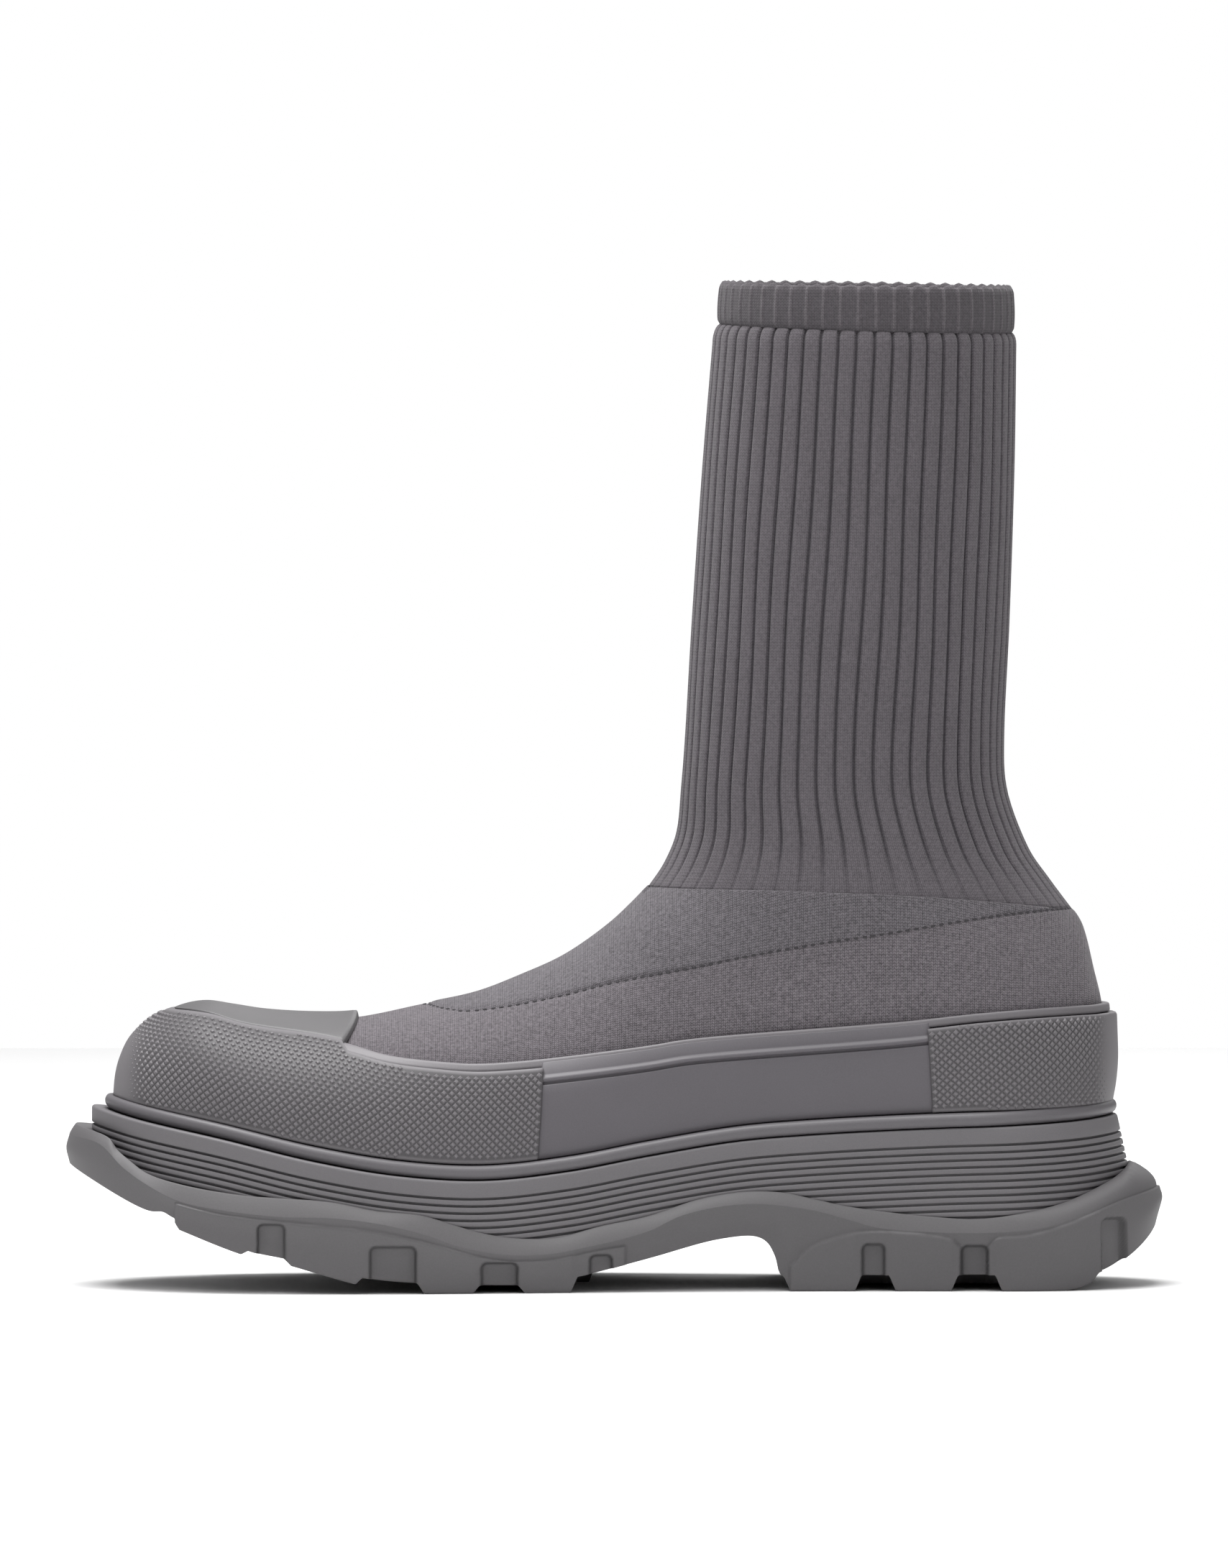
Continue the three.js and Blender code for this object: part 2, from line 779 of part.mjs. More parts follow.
function rowBlock(row, side, lean) {
  const move = side > 0 ? row.shift * lateralShift : 0;
  const from = sideX(row.from) + move;
  const to = sideX(row.to) + move;
  const top = row.up * soleHeight;
  const foot = [
    [from + lean, treadLine(from) - lean - gap],
    [to - lean, treadLine(to) - lean - gap],
  ];
  const sides = [
    [to, top],
    [from, top],
  ];
  if (lean > 0) {
    sides.unshift([to, underside(to)]);
    sides.push([from, underside(from)]);
  }
  const outline = [...foot, ...sides];
  const inner = lugSplit / 2;
  return side > 0 ? block(outline, inner, cutReach) : block(outline, -cutReach, -inner);
}

function outsole() {
  const front = outsoleFront;
  const back = outsoleBack;
  const base = outsoleBaseWidth;
  let sole = stack([
    soleRing(underside, front + 1, back - 2, base - 2 * lugProud),
    soleRing(between(underside, crest, 0.5), front, back, base - lugProud),
    soleRing(crest, front + 1, back - 2, outsoleWidth),
    bevelRing(0.72),
    outsoleTopRing(),
  ]);
  const treadForm = stack([
    soleRing(tread, front + 2, back - 1, base - lugProud),
    soleRing(between(tread, crest, 0.92), front + 0.5, back - 1.5, base + lugProud),
  ]);
  const coreRing = (z) =>
    soleRing(() => z, front + windowDepth, back - windowDepth, base - lugProud - 2 * windowDepth);
  const core = stack([coreRing(-soleHeight), coreRing(bootHeight)]);
  for (const side of [-1, 1]) {
    for (const row of windows) sole = sole.subtract(rowBlock(row, side, 0).subtract(core));
    for (const row of lugs) sole = sole.add(rowBlock(row, side, lugLean).intersect(treadForm));
  }
  return sole;
}

function insole() {
  const walls = [footRings[0], footRing((x) => lowEdge(x) + insoleThick)];
  const inside = offset(walls, -(knitWall + insoleEase));
  const lift = [0, insoleThick];
  return stack(inside.map((ring, j) => ring.map((p) => p.clone().setZ(lowEdge(p.x) + lift[j]))));
}

// Materials and the finished group
function piece(name, made, colour, roughness) {
  const { vertProperties, triVerts } = made.getMesh();
  const geometry = new THREE.BufferGeometry();
  geometry.setAttribute("position", new THREE.BufferAttribute(new Float32Array(vertProperties), 3));
  geometry.setIndex(new THREE.BufferAttribute(new Uint32Array(triVerts), 1));
  geometry.computeVertexNormals();
  const material = new THREE.MeshStandardMaterial({ color: colour, roughness, metalness: 0 });
  const mesh = new THREE.Mesh(geometry, material);
  mesh.name = name;
  return mesh;
}

const boot = new THREE.Group();
boot.name = "sock_boot";
boot.add(
  piece("outsole", outsole(), 0x626263, 0.62),
  piece("midsole", midsole(), 0x666467, 0.6),
  piece("welt_bead", weltBead(), 0x5c5a5d, 0.5),
  piece("toe_bumper", toeBumper(), 0x6a676a, 0.65),
  piece("toe_cap", toeCap(), 0x8a888b, 0.55),
  piece("side_band_inner", sideBand(-cutReach, 0), 0x5f5c61, 0.55),
  piece("side_band_outer", sideBand(0, cutReach), 0x5f5c61, 0.55),
  piece("heel_counter", heelCounter(), 0x646265, 0.65),
  piece("foxing_rim", foxingRim(), 0x716e71, 0.55),
  piece("upper", upper(), 0x676268, 0.95),
  piece("insole", insole(), 0x5a575b, 0.95),
);

export default boot;
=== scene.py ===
import math

import bmesh
import bpy
import numpy as np
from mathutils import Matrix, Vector


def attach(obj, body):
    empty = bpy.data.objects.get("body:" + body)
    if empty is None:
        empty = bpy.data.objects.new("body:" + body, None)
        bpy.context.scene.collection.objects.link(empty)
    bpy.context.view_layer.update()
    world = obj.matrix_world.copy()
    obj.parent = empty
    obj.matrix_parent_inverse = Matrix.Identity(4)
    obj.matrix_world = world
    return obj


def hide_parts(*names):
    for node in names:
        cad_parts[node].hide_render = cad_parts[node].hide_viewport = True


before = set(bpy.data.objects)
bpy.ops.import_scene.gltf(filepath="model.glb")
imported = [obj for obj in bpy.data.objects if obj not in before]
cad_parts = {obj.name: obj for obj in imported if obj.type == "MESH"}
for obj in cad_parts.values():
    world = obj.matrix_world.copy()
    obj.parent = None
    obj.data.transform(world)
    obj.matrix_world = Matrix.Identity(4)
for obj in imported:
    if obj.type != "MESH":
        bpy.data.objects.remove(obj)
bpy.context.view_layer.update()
scene = bpy.context.scene
mm = 0.001

# camera, floor and lights
view = {
    "aim": (0.0, 0.0, 0.1502),
    "distance": 7.0,
    "elevation": 2.05,
    "frameWidth": 0.3689,     # what the photo's width spans at the shoe
    "filmWidth": 36.0,
    "keyPower": 11.0,
    "fillPower": 4.0,
    "topPower": 64.0,
    "rimPower": 6.0,
    "ambient": 0.3,           # what the white room gives the shoe
    "backdrop": 1.0,          # what the camera sees of it
    "floorColour": (0.8, 0.8, 0.8),
}


def addLight(name, place, size, power, aim=(0.0, 0.0, 0.1)):
    data = bpy.data.lights.new(name, "AREA")
    data.shape = "RECTANGLE"
    data.size, data.size_y = size
    data.energy = power
    lamp = bpy.data.objects.new(name, data)
    lamp.location = place
    lamp.rotation_euler = (Vector(aim) - Vector(place)).to_track_quat("-Z", "Y").to_euler()
    scene.collection.objects.link(lamp)


def makeStudio(v):
    tilt = math.radians(v["elevation"])
    aim = Vector(v["aim"])
    data = bpy.data.cameras.new("camera")
    data.sensor_fit = "HORIZONTAL"
    data.sensor_width = v["filmWidth"]
    data.lens = v["filmWidth"] * v["distance"] / v["frameWidth"]
    data.clip_end = 50.0
    camera = bpy.data.objects.new("camera", data)
    camera.location = aim + v["distance"] * Vector((0, -math.cos(tilt), math.sin(tilt)))
    camera.rotation_euler = (aim - camera.location).to_track_quat("-Z", "Y").to_euler()
    scene.collection.objects.link(camera)
    scene.camera = camera

    mesh = bpy.data.meshes.new("floor")
    mesh.from_pydata([(-3, -3, 0), (3, -3, 0), (3, 1.5, 0), (-3, 1.5, 0)], [], [(0, 1, 2, 3)])
    floor = bpy.data.objects.new("floor", mesh)
    scene.collection.objects.link(floor)
    paint = bpy.data.materials.new("paleFloor")
    paint.use_nodes = True
    shader = paint.node_tree.nodes["Principled BSDF"]
    shader.inputs["Base Color"].default_value = (*v["floorColour"], 1)
    shader.inputs["Roughness"].default_value = 0.9
    mesh.materials.append(paint)

    world = bpy.data.worlds.new("paleRoom")
    world.use_nodes = True
    nodes = world.node_tree.nodes
    nodes["Background"].inputs["Color"].default_value = (1, 1, 1, 1)
    seen = nodes.new("ShaderNodeMapRange")
    seen.inputs["To Min"].default_value = v["ambient"]
    seen.inputs["To Max"].default_value = v["backdrop"]
    links = world.node_tree.links
    links.new(nodes.new("ShaderNodeLightPath").outputs["Is Camera Ray"], seen.inputs["Value"])
    links.new(seen.outputs[0], nodes["Background"].inputs["Strength"])
    scene.world = world
    scene.view_settings.view_transform = "Standard"
    addLight("key", (-0.4, -1.45, 1.6), (1.2, 1.0), v["keyPower"])
    addLight("fill", (1.3, -1.6, 0.9), (1.4, 1.2), v["fillPower"])
    addLight("top", (-0.25, 0.0, 1.9), (1.3, 1.3), v["topPower"])
    addLight("rim", (0.6, 1.5, 1.1), (1.2, 1.0), v["rimPower"])


makeStudio(view)
print("studio ready")

# the shoe's own sizes
boot = {
    "lastLength": 294 * mm,
    "toeReach": 18 * mm,
    "heelReach": 17 * mm,
    "ballWidth": 96 * mm,
    "soleHeight": 52 * mm,
    "rimHeight": 84 * mm,
    "throatHeight": 119.4 * mm,
    "heelDrop": 6.5 * mm,
    "bootHeight": 300.5 * mm,
    "shaftDepth": 91.2 * mm,
    "shaftWidth": 77 * mm,
    "knitWall": 2.2 * mm,
    "gap": 0.3 * mm,
    "toeRun": 0.33,           # share of the last over which the plan rounds off, and how square
    "toeRound": 2.6,
    "heelRun": 0.13,
    "heelRound": 2.0,
    "tuckTop": 0.59,          # the knit bends in under the heel, below this share of the throat
    "tuckFrom": 0.78,
    "tuckRun": 19 * mm,
    "tuckDepth": 3 * mm,
}
outsoleLength = boot["toeReach"] + boot["lastLength"] + boot["heelReach"]
lastToe = boot["toeReach"] - outsoleLength / 2
lastHeel = lastToe + boot["lastLength"]
shaftHeight = boot["bootHeight"] - boot["throatHeight"]


def sideX(share):
    return lastToe + share * boot["lastLength"]


def smoothLine(rows, height):
    p = np.array([(sideX(along), up * height) for along, up in rows])
    q = np.vstack([2 * p[0] - p[1], p, 2 * p[-1] - p[-2]])
    line = []
    for a, b, c, d in zip(q, q[1:], q[2:], q[3:]):
        k = np.cumsum([0.0] + [np.linalg.norm(e) ** 0.5 for e in (b - a, c - b, d - c)])
        t = np.linspace(k[1], k[2], 14)[:, None]

        def mix(u, v, s, e):
            return (u * (e - t) + v * (t - s)) / (e - s)

        ab, bc, cd = mix(a, b, k[0], k[1]), mix(b, c, k[1], k[2]), mix(c, d, k[2], k[3])
        line.append(mix(mix(ab, bc, k[0], k[2]), mix(bc, cd, k[1], k[3]), k[1], k[2]))
    line = np.vstack(line)
    xs = np.maximum.accumulate(line[:, 0]) + np.arange(len(line)) * 1e-12
    return lambda x: np.interp(x, xs, line[:, 1])


# side view lines: share of the last from the toe, share of their height
toeAndInstep = smoothLine([
    (0, 0.4), (0.003, 0.525), (0.008, 0.573), (0.016, 0.614), (0.028, 0.646), (0.043, 0.67),
    (0.061, 0.689), (0.082, 0.697), (0.108, 0.688), (0.141, 0.6755), (0.192, 0.668), (0.235, 0.671),
    (0.302, 0.7035), (0.358, 0.733), (0.403, 0.7755), (0.448, 0.8266), (0.493, 0.9045),
    (0.5155, 0.9555), (0.533, 1)], boot["throatHeight"])
ribLine = smoothLine([
    (0.533, 1), (0.668, 1.002), (0.811, 0.988), (0.896, 0.969),
    (0.966, 1 - boot["heelDrop"] / boot["throatHeight"])], boot["throatHeight"])
heelLine = smoothLine([
    (0.966, 1 - boot["heelDrop"] / boot["throatHeight"]), (0.9695, 0.937), (0.976, 0.911),
    (0.981, 0.875), (0.9885, 0.796), (0.9965, 0.71), (0.9985, 0.628), (0.9995, 0.5), (1, 0.38)],
    boot["throatHeight"])
midsoleTop = smoothLine([
    (-0.037, 1.045), (0.012, 0.98), (0.098, 0.882), (0.194, 0.755), (0.28, 0.673), (0.366, 0.644),
    (0.452, 0.692), (0.532, 0.775), (0.623, 0.858), (0.698, 0.894), (0.823, 0.931), (0.91, 0.948),
    (0.975, 0.967), (1.016, 0.99)], boot["soleHeight"])
rimTop = smoothLine([
    (-0.02, 0.985), (0.033, 0.968), (0.082, 0.957), (0.123, 0.92), (0.22, 0.871), (0.268, 0.828),
    (0.313, 0.809), (0.358, 0.8), (0.403, 0.81), (0.448, 0.828), (0.532, 0.869), (0.576, 0.894),
    (0.796, 0.958), (0.867, 0.984), (0.938, 1), (1.02, 1.006)], boot["rimHeight"])
outsoleTop = smoothLine([
    (-0.052, 0.935), (-0.016, 0.875), (-0.008, 0.815), (0.007, 0.745), (0.024, 0.68), (0.056, 0.625),
    (0.118, 0.568), (0.21, 0.53), (0.258, 0.478), (0.302, 0.452), (0.341, 0.385), (0.366, 0.345),
    (0.399, 0.316), (0.441, 0.32), (0.485, 0.382), (0.532, 0.436), (0.585, 0.532), (0.632, 0.574),
    (0.67, 0.568), (0.698, 0.535), (0.735, 0.489), (0.781, 0.452), (0.823, 0.428), (0.867, 0.416),
    (0.91, 0.445), (0.953, 0.5), (0.985, 0.57), (1.013, 0.65), (1.026, 0.71)], boot["soleHeight"])
crest = smoothLine([
    (-0.057, 0.875), (-0.026, 0.84), (-0.001, 0.71), (0.024, 0.615), (0.056, 0.528), (0.098, 0.482),
    (0.16, 0.445), (0.21, 0.439), (0.258, 0.407), (0.302, 0.349), (0.345, 0.266), (0.388, 0.224),
    (0.431, 0.224), (0.474, 0.266), (0.532, 0.349), (0.567, 0.439), (0.613, 0.495), (0.65, 0.503),
    (0.698, 0.47), (0.735, 0.416), (0.767, 0.366), (0.823, 0.341), (0.867, 0.336), (0.931, 0.361),
    (0.975, 0.428), (1.017, 0.515), (1.055, 0.57)], boot["soleHeight"])
underside = smoothLine([
    (-0.06, 0.71), (0.024, 0.467), (0.04, 0.46), (0.05, 0.43), (0.1, 0.32), (0.128, 0.245),
    (0.165, 0.2), (0.245, 0.092), (0.3, 0.06), (0.365, 0.046), (0.42, 0.05), (0.465, 0.095), (0.532, 0.19),
    (0.605, 0.3), (0.642, 0.315), (0.654, 0.28), (0.662, 0.2), (0.669, 0.09), (0.71, 0.09), (0.96, 0.095),
    (0.99, 0.1), (1.016, 0.17), (1.04, 0.29), (1.056, 0.43)], boot["soleHeight"])
treadLine = smoothLine([
    (-0.06, 0.71), (0.024, 0.44), (0.0535, 0.373), (0.126, 0.216), (0.164, 0.172), (0.242, 0.05), (0.3, 0),
    (0.5, 0), (0.66, 0), (0.955, 0), (0.977, 0.03), (1.03, 0.24)], boot["soleHeight"])
seamLine = smoothLine([
    (0.298, 0.712), (0.315, 0.7037), (0.331, 0.6985), (0.3446, 0.695), (0.367, 0.7), (0.403, 0.7144),
    (0.448, 0.738), (0.493, 0.767), (0.5384, 0.789), (0.576, 0.8057), (0.6354, 0.8367),
    (0.7058, 0.8677), (0.775, 0.893), (0.85, 0.923), (0.9065, 0.9405), (0.966, 0.9515)],
    boot["throatHeight"])
padTop = smoothLine([
    (0.0535, 0.515), (0.098, 0.457), (0.194, 0.399), (0.258, 0.361), (0.302, 0.307), (0.377, 0.199),
    (0.431, 0.191), (0.496, 0.258), (0.6, 0.3), (0.66, 0.06), (0.677, 0.137), (0.698, 0.253),
    (0.735, 0.328), (0.767, 0.345), (0.841, 0.299), (0.8506, 0.262), (0.878, 0.262), (0.886, 0.303),
    (0.92, 0.324), (0.953, 0.374), (0.996, 0.474), (1.039, 0.623), (1.06, 0.66)], boot["soleHeight"])
throatX, heelCornerX, toePeakX = sideX(0.533), sideX(0.966), sideX(0.082)

# plan of the last: place, centre line, half width, how square the section is
plan = np.array([
    (0.0, -0.052, 0.5, 3.0), (0.15, -0.032, 0.5, 3.0), (0.3, 0.003, 0.5, 2.9), (0.45, 0.03, 0.462, 2.6),
    (0.6, 0.036, 0.405, 2.5), (0.75, 0.018, 0.372, 2.5), (0.88, 0.0, 0.365, 2.5), (1.0, 0.0, 0.36, 2.5)])
# shaft: height, drop at the heel side, centre along the last, depth, width
shaftTable = np.array([
    (0.0, 1.0, 0.7495, 1.395, 0.9), (0.039, 0.75, 0.7465, 1.272, 0.885), (0.09, 0.7, 0.7418, 1.16, 0.875),
    (0.163, 0.2, 0.7337, 1.077, 0.875), (0.246, 0.2, 0.7338, 1.052, 0.895), (0.44, 0.0, 0.74, 1.047, 0.95),
    (0.7, 0.0, 0.748, 1.028, 0.99), (0.906, 0.0, 0.7541, 1.0, 1.0)])
cuffTable = np.array([(0.932, 0.43, 0.7552, 0.958, 0.958), (0.96, 0.32, 0.7556, 0.958, 0.958),
                      (1.0, 0.17, 0.756, 0.953, 0.955)])


def through(xs, ys, v):
    v = np.clip(v, xs[0], xs[-1])
    slope = np.concatenate([
        [(ys[1] - ys[0]) / (xs[1] - xs[0])],
        (ys[2:] - ys[:-2]) / (xs[2:] - xs[:-2]),
        [(ys[-1] - ys[-2]) / (xs[-1] - xs[-2])]])
    i = np.clip(np.searchsorted(xs, v, side="right") - 1, 0, len(xs) - 2)
    run = xs[i + 1] - xs[i]
    t = (v - xs[i]) / run
    return ((2 * t**3 - 3 * t**2 + 1) * ys[i] + (t**3 - 2 * t**2 + t) * run * slope[i]
            + (3 * t**2 - 2 * t**3) * ys[i + 1] + (t**3 - t**2) * run * slope[i + 1])


def ease(t):
    t = np.clip(t, 0, 1)
    return t * t * (3 - 2 * t)


def rounding(share, run, power):
    return np.sqrt(np.clip(1 - (1 - np.clip(share / run, 0, 1)) ** power, 0, 1))


def planAt(share, width):
    ends = rounding(share, boot["toeRun"], boot["toeRound"])
    ends = ends * rounding(1 - share, boot["heelRun"], boot["heelRound"])
    centre = through(plan[:, 0], plan[:, 1], share) * boot["ballWidth"]
    return centre, through(plan[:, 0], plan[:, 2], share) * width * ends


def upperTop(x):
    return np.where(x < throatX, toeAndInstep(x), np.where(x < heelCornerX, ribLine(x), heelLine(x)))


def lowEdge(x):
    return midsoleTop(x) + boot["gap"]


def footPoint(x, z, side):
    share = (x - lastToe) / boot["lastLength"]
    centre, half = planAt(share, boot["ballWidth"])
    low = lowEdge(x)
    t = np.clip((z - low) / np.maximum(1e-9, upperTop(x) - low), 0, 1)
    square = through(plan[:, 0], plan[:, 3], share)
    row = shaftTable[0]
    away = (x - sideX(row[2])) / (row[3] * boot["shaftDepth"] / 2)
    foot = row[4] * boot["shaftWidth"] / 2 * np.sqrt(np.clip(1 - away * away, 0, 1))
    stays = np.where((x > throatX) & (x < heelCornerX), np.minimum(1, foot / np.maximum(half, 1e-9)), 0)
    reach = half * np.sqrt(np.clip(1 - (1 - stays**2) * t**square, 0, 1))
    middle = centre * (1 - ease((share - 0.3) / 0.23) * t * t)
    below = np.clip(boot["tuckTop"] * boot["throatHeight"] - z, 0, 1) / boot["tuckRun"]
    tuck = boot["tuckDepth"] * ease((share - boot["tuckFrom"]) / (1 - boot["tuckFrom"])) * below**2
    return np.stack([x - tuck, middle + side * reach, z + 0 * x], -1)


def crossing(f, a, b):
    for _ in range(36):
        m = (a + b) / 2
        a, b = (m, b) if f(m) < 0 else (a, m)
    return (a + b) / 2


def lineEnds(line):
    return (crossing(lambda x: upperTop(x) - line(x), lastToe, toePeakX),
            crossing(lambda x: line(x) - upperTop(x), heelCornerX, lastHeel))


def ringPoints(line, turns, ends):
    x = ends[0] + (1 - np.cos(turns)) / 2 * (ends[1] - ends[0])
    side = np.where(np.sin(turns) >= 0, -1.0, 1.0)
    return footPoint(x, np.minimum(line(x), upperTop(x)), side)


def turnAt(line, x):
    a, b = lineEnds(line)
    return math.acos(max(-1.0, min(1.0, 1 - 2 * (x - a) / (b - a))))


def runOf(p):
    return np.concatenate([[0], np.cumsum(np.linalg.norm(np.diff(p, axis=0), axis=1))])


def unit(v):
    return v / np.maximum(np.linalg.norm(v, axis=-1, keepdims=True), 1e-12)


def skin(line, turns):
    ends = lineEnds(line)
    step, rise = 0.004, 0.25 * mm
    higher, lower = (lambda x: line(x) + rise), (lambda x: line(x) - rise)
    across = ringPoints(line, turns + step, ends) - ringPoints(line, turns - step, ends)
    up = ringPoints(higher, turns, lineEnds(higher)) - ringPoints(lower, turns, lineEnds(lower))
    return ringPoints(line, turns, ends), unit(np.cross(across, up))


def gridNormals(points, wrap):
    if wrap:
        across = np.roll(points, -1, 1) - np.roll(points, 1, 1)
    else:
        across = np.gradient(points, axis=1)
    return unit(np.cross(across, np.gradient(points, axis=0)))


# meshes from grids of points
def volumeOf(points, faces):
    a, b, c, d = (points[faces[:, k]] for k in range(4))
    return (a * (np.cross(b, c) + np.cross(c, d))).sum() / 6


def quads(rows, columns, wrapRows, wrapColumns, start=0):
    j, i = np.meshgrid(np.arange(rows - (not wrapRows)), np.arange(columns - (not wrapColumns)),
                       indexing="ij")
    n, m = (i + 1) % columns, (j + 1) % rows
    f = np.stack([j * columns + i, j * columns + n, m * columns + n, m * columns + i], -1)
    return f.reshape(-1, 4) + start


def addMesh(name, points, faces, attributes=None, uv=None, material=None, merge=True):
    faces = np.asarray(faces)
    if volumeOf(points, faces) < 0:      # faces have to point outwards
        faces = faces[:, ::-1]
    mesh = bpy.data.meshes.new(name)
    mesh.from_pydata(points.tolist(), [], faces.tolist())
    for key, values in (attributes or {}).items():
        layer = mesh.attributes.new(key, "FLOAT", "POINT")
        layer.data.foreach_set("value", np.asarray(values, np.float32).ravel())
    if uv is not None:
        layer = mesh.uv_layers.new(name="cloth")
        layer.data.foreach_set("uv", uv[faces.ravel()].astype(np.float32).ravel())
    if merge:
        bm = bmesh.new()
        bm.from_mesh(mesh)
        bmesh.ops.remove_doubles(bm, verts=bm.verts, dist=2e-6)
        bmesh.ops.dissolve_degenerate(bm, edges=bm.edges, dist=1e-7)
        bm.to_mesh(mesh)
        bm.free()
    mesh.polygons.foreach_set("use_smooth", [True] * len(mesh.polygons))
    if material:
        mesh.materials.append(material)
    piece = bpy.data.objects.new(name, mesh)
    scene.collection.objects.link(piece)
    return piece


def lidFaces(start, columns):
    i = np.arange(columns // 2)
    return np.stack([start + i, start + i + 1, start + (columns - i - 1) % columns,
                     start + (columns - i) % columns], -1)


def addStack(name, rings, **more):
    rings = np.asarray(rings)
    rows, columns = rings.shape[:2]
    faces = np.vstack([quads(rows, columns, False, True), lidFaces(0, columns)[:, ::-1],
                       lidFaces((rows - 1) * columns, columns)])
    return addMesh(name, rings.reshape(-1, 3), faces, **more)


def addLoop(name, rings, **more):
    rings = np.asarray(rings)
    return addMesh(name, rings.reshape(-1, 3), quads(*rings.shape[:2], True, True), **more)


def addSlab(name, outer, inner, **more):
    rows, columns = outer.shape[:2]
    n = rows * columns
    a = np.arange(rows - 1) * columns
    b = a + columns
    i = np.arange(columns - 1)
    top = (rows - 1) * columns
    faces = np.vstack([
        quads(rows, columns, False, False),
        quads(rows, columns, False, False, n)[:, ::-1],
        np.stack([i + 1, i, i + n, i + 1 + n], -1),
        np.stack([top + i, top + i + 1, top + i + 1 + n, top + i + n], -1),
        np.stack([a, b, b + n, a + n], -1),
        np.stack([b, a, a + n, b + n], -1) + columns - 1])
    return addMesh(name, np.concatenate([outer.reshape(-1, 3), inner.reshape(-1, 3)]), faces, **more)


# node trees
def link(tree, a, b):
    tree.links.new(a, b)


def put(tree, kind, **settings):
    made = tree.nodes.new(kind)
    for key, value in settings.items():
        setattr(made, key, value)
    return made


def feed(tree, value, socket):
    if isinstance(value, bpy.types.NodeSocket):
        link(tree, value, socket)
    else:
        socket.default_value = value


def setInputs(made, values):
    for key, value in values.items():
        made.inputs[key].default_value = value


def calc(tree, operation, *values):
    made = put(tree, "ShaderNodeMath", operation=operation)
    for socket, value in zip(made.inputs, values):
        feed(tree, value, socket)
    return made.outputs[0]


def chain(tree, operation, first, *others):      # the same step over several values
    for value in others:
        first = calc(tree, operation, first, value)
    return first


def swing(tree, value, amount):
    # a value from 0 to 1, turned into plus or minus half the amount
    return calc(tree, "MULTIPLY", calc(tree, "SUBTRACT", value, 0.5), amount)


def ramp(tree, value, low, high, toLow=0.0, toHigh=1.0):
    made = put(tree, "ShaderNodeMapRange", interpolation_type="SMOOTHSTEP")
    for socket, v in zip(made.inputs, (value, low, high, toLow, toHigh)):
        feed(tree, v, socket)
    return made.outputs[0]


def noise(tree, place, scale, detail):
    made = put(tree, "ShaderNodeTexNoise")
    for key, value in (("Vector", place), ("Scale", scale), ("Detail", detail)):
        feed(tree, value, made.inputs[key])
    return made.outputs[0]


def newGroup(name, kind, inputs, outputs):
    tree = bpy.data.node_groups.new(name, kind)
    for label, socket, value in inputs:
        made = tree.interface.new_socket(label, in_out="INPUT", socket_type=socket)
        if value is not None:
            made.default_value = value
    for label, socket in outputs:
        tree.interface.new_socket(label, in_out="OUTPUT", socket_type=socket)
    return tree, put(tree, "NodeGroupInput").outputs, put(tree, "NodeGroupOutput").inputs


floatSocket, colourSocket, vectorSocket = "NodeSocketFloat", "NodeSocketColor", "NodeSocketVector"


def mixColour(tree, factor, a, b, how="MIX"):
    made = put(tree, "ShaderNodeMix", data_type="RGBA", blend_type=how)
    for k, value in ((0, factor), (6, a), (7, b)):
        feed(tree, value, made.inputs[k])
    return made.outputs[2]


def shade(tree, colour, amount):
    grey = put(tree, "ShaderNodeCombineColor")
    for socket in grey.inputs:
        link(tree, amount, socket)
    return mixColour(tree, 1.0, colour, grey.outputs[0], "MULTIPLY")


def makeRubberGroup():
    tree, given, out = newGroup("rubberSkin", "ShaderNodeTree", [
        ("Colour", colourSocket, (0.12, 0.12, 0.12, 1)), ("Grain", floatSocket, 2600.0),
        ("Mottle", floatSocket, 0.14), ("Roughness", floatSocket, 0.55)],
        [("Colour", colourSocket), ("Roughness", floatSocket), ("Height", floatSocket)])
    place = put(tree, "ShaderNodeTexCoord").outputs["Object"]
    fine = noise(tree, place, given["Grain"], 3.0)
    blotch = swing(tree, noise(tree, place, 32.0, 5.0), given["Mottle"])
    speck = swing(tree, fine, 0.28)
    link(tree, shade(tree, given["Colour"], chain(tree, "ADD", blotch, speck, 1.0)), out["Colour"])
    link(tree, calc(tree, "ADD", calc(tree, "MULTIPLY", speck, 0.5),
                    calc(tree, "ADD", given["Roughness"], blotch)), out["Roughness"])
    link(tree, fine, out["Height"])
    return tree


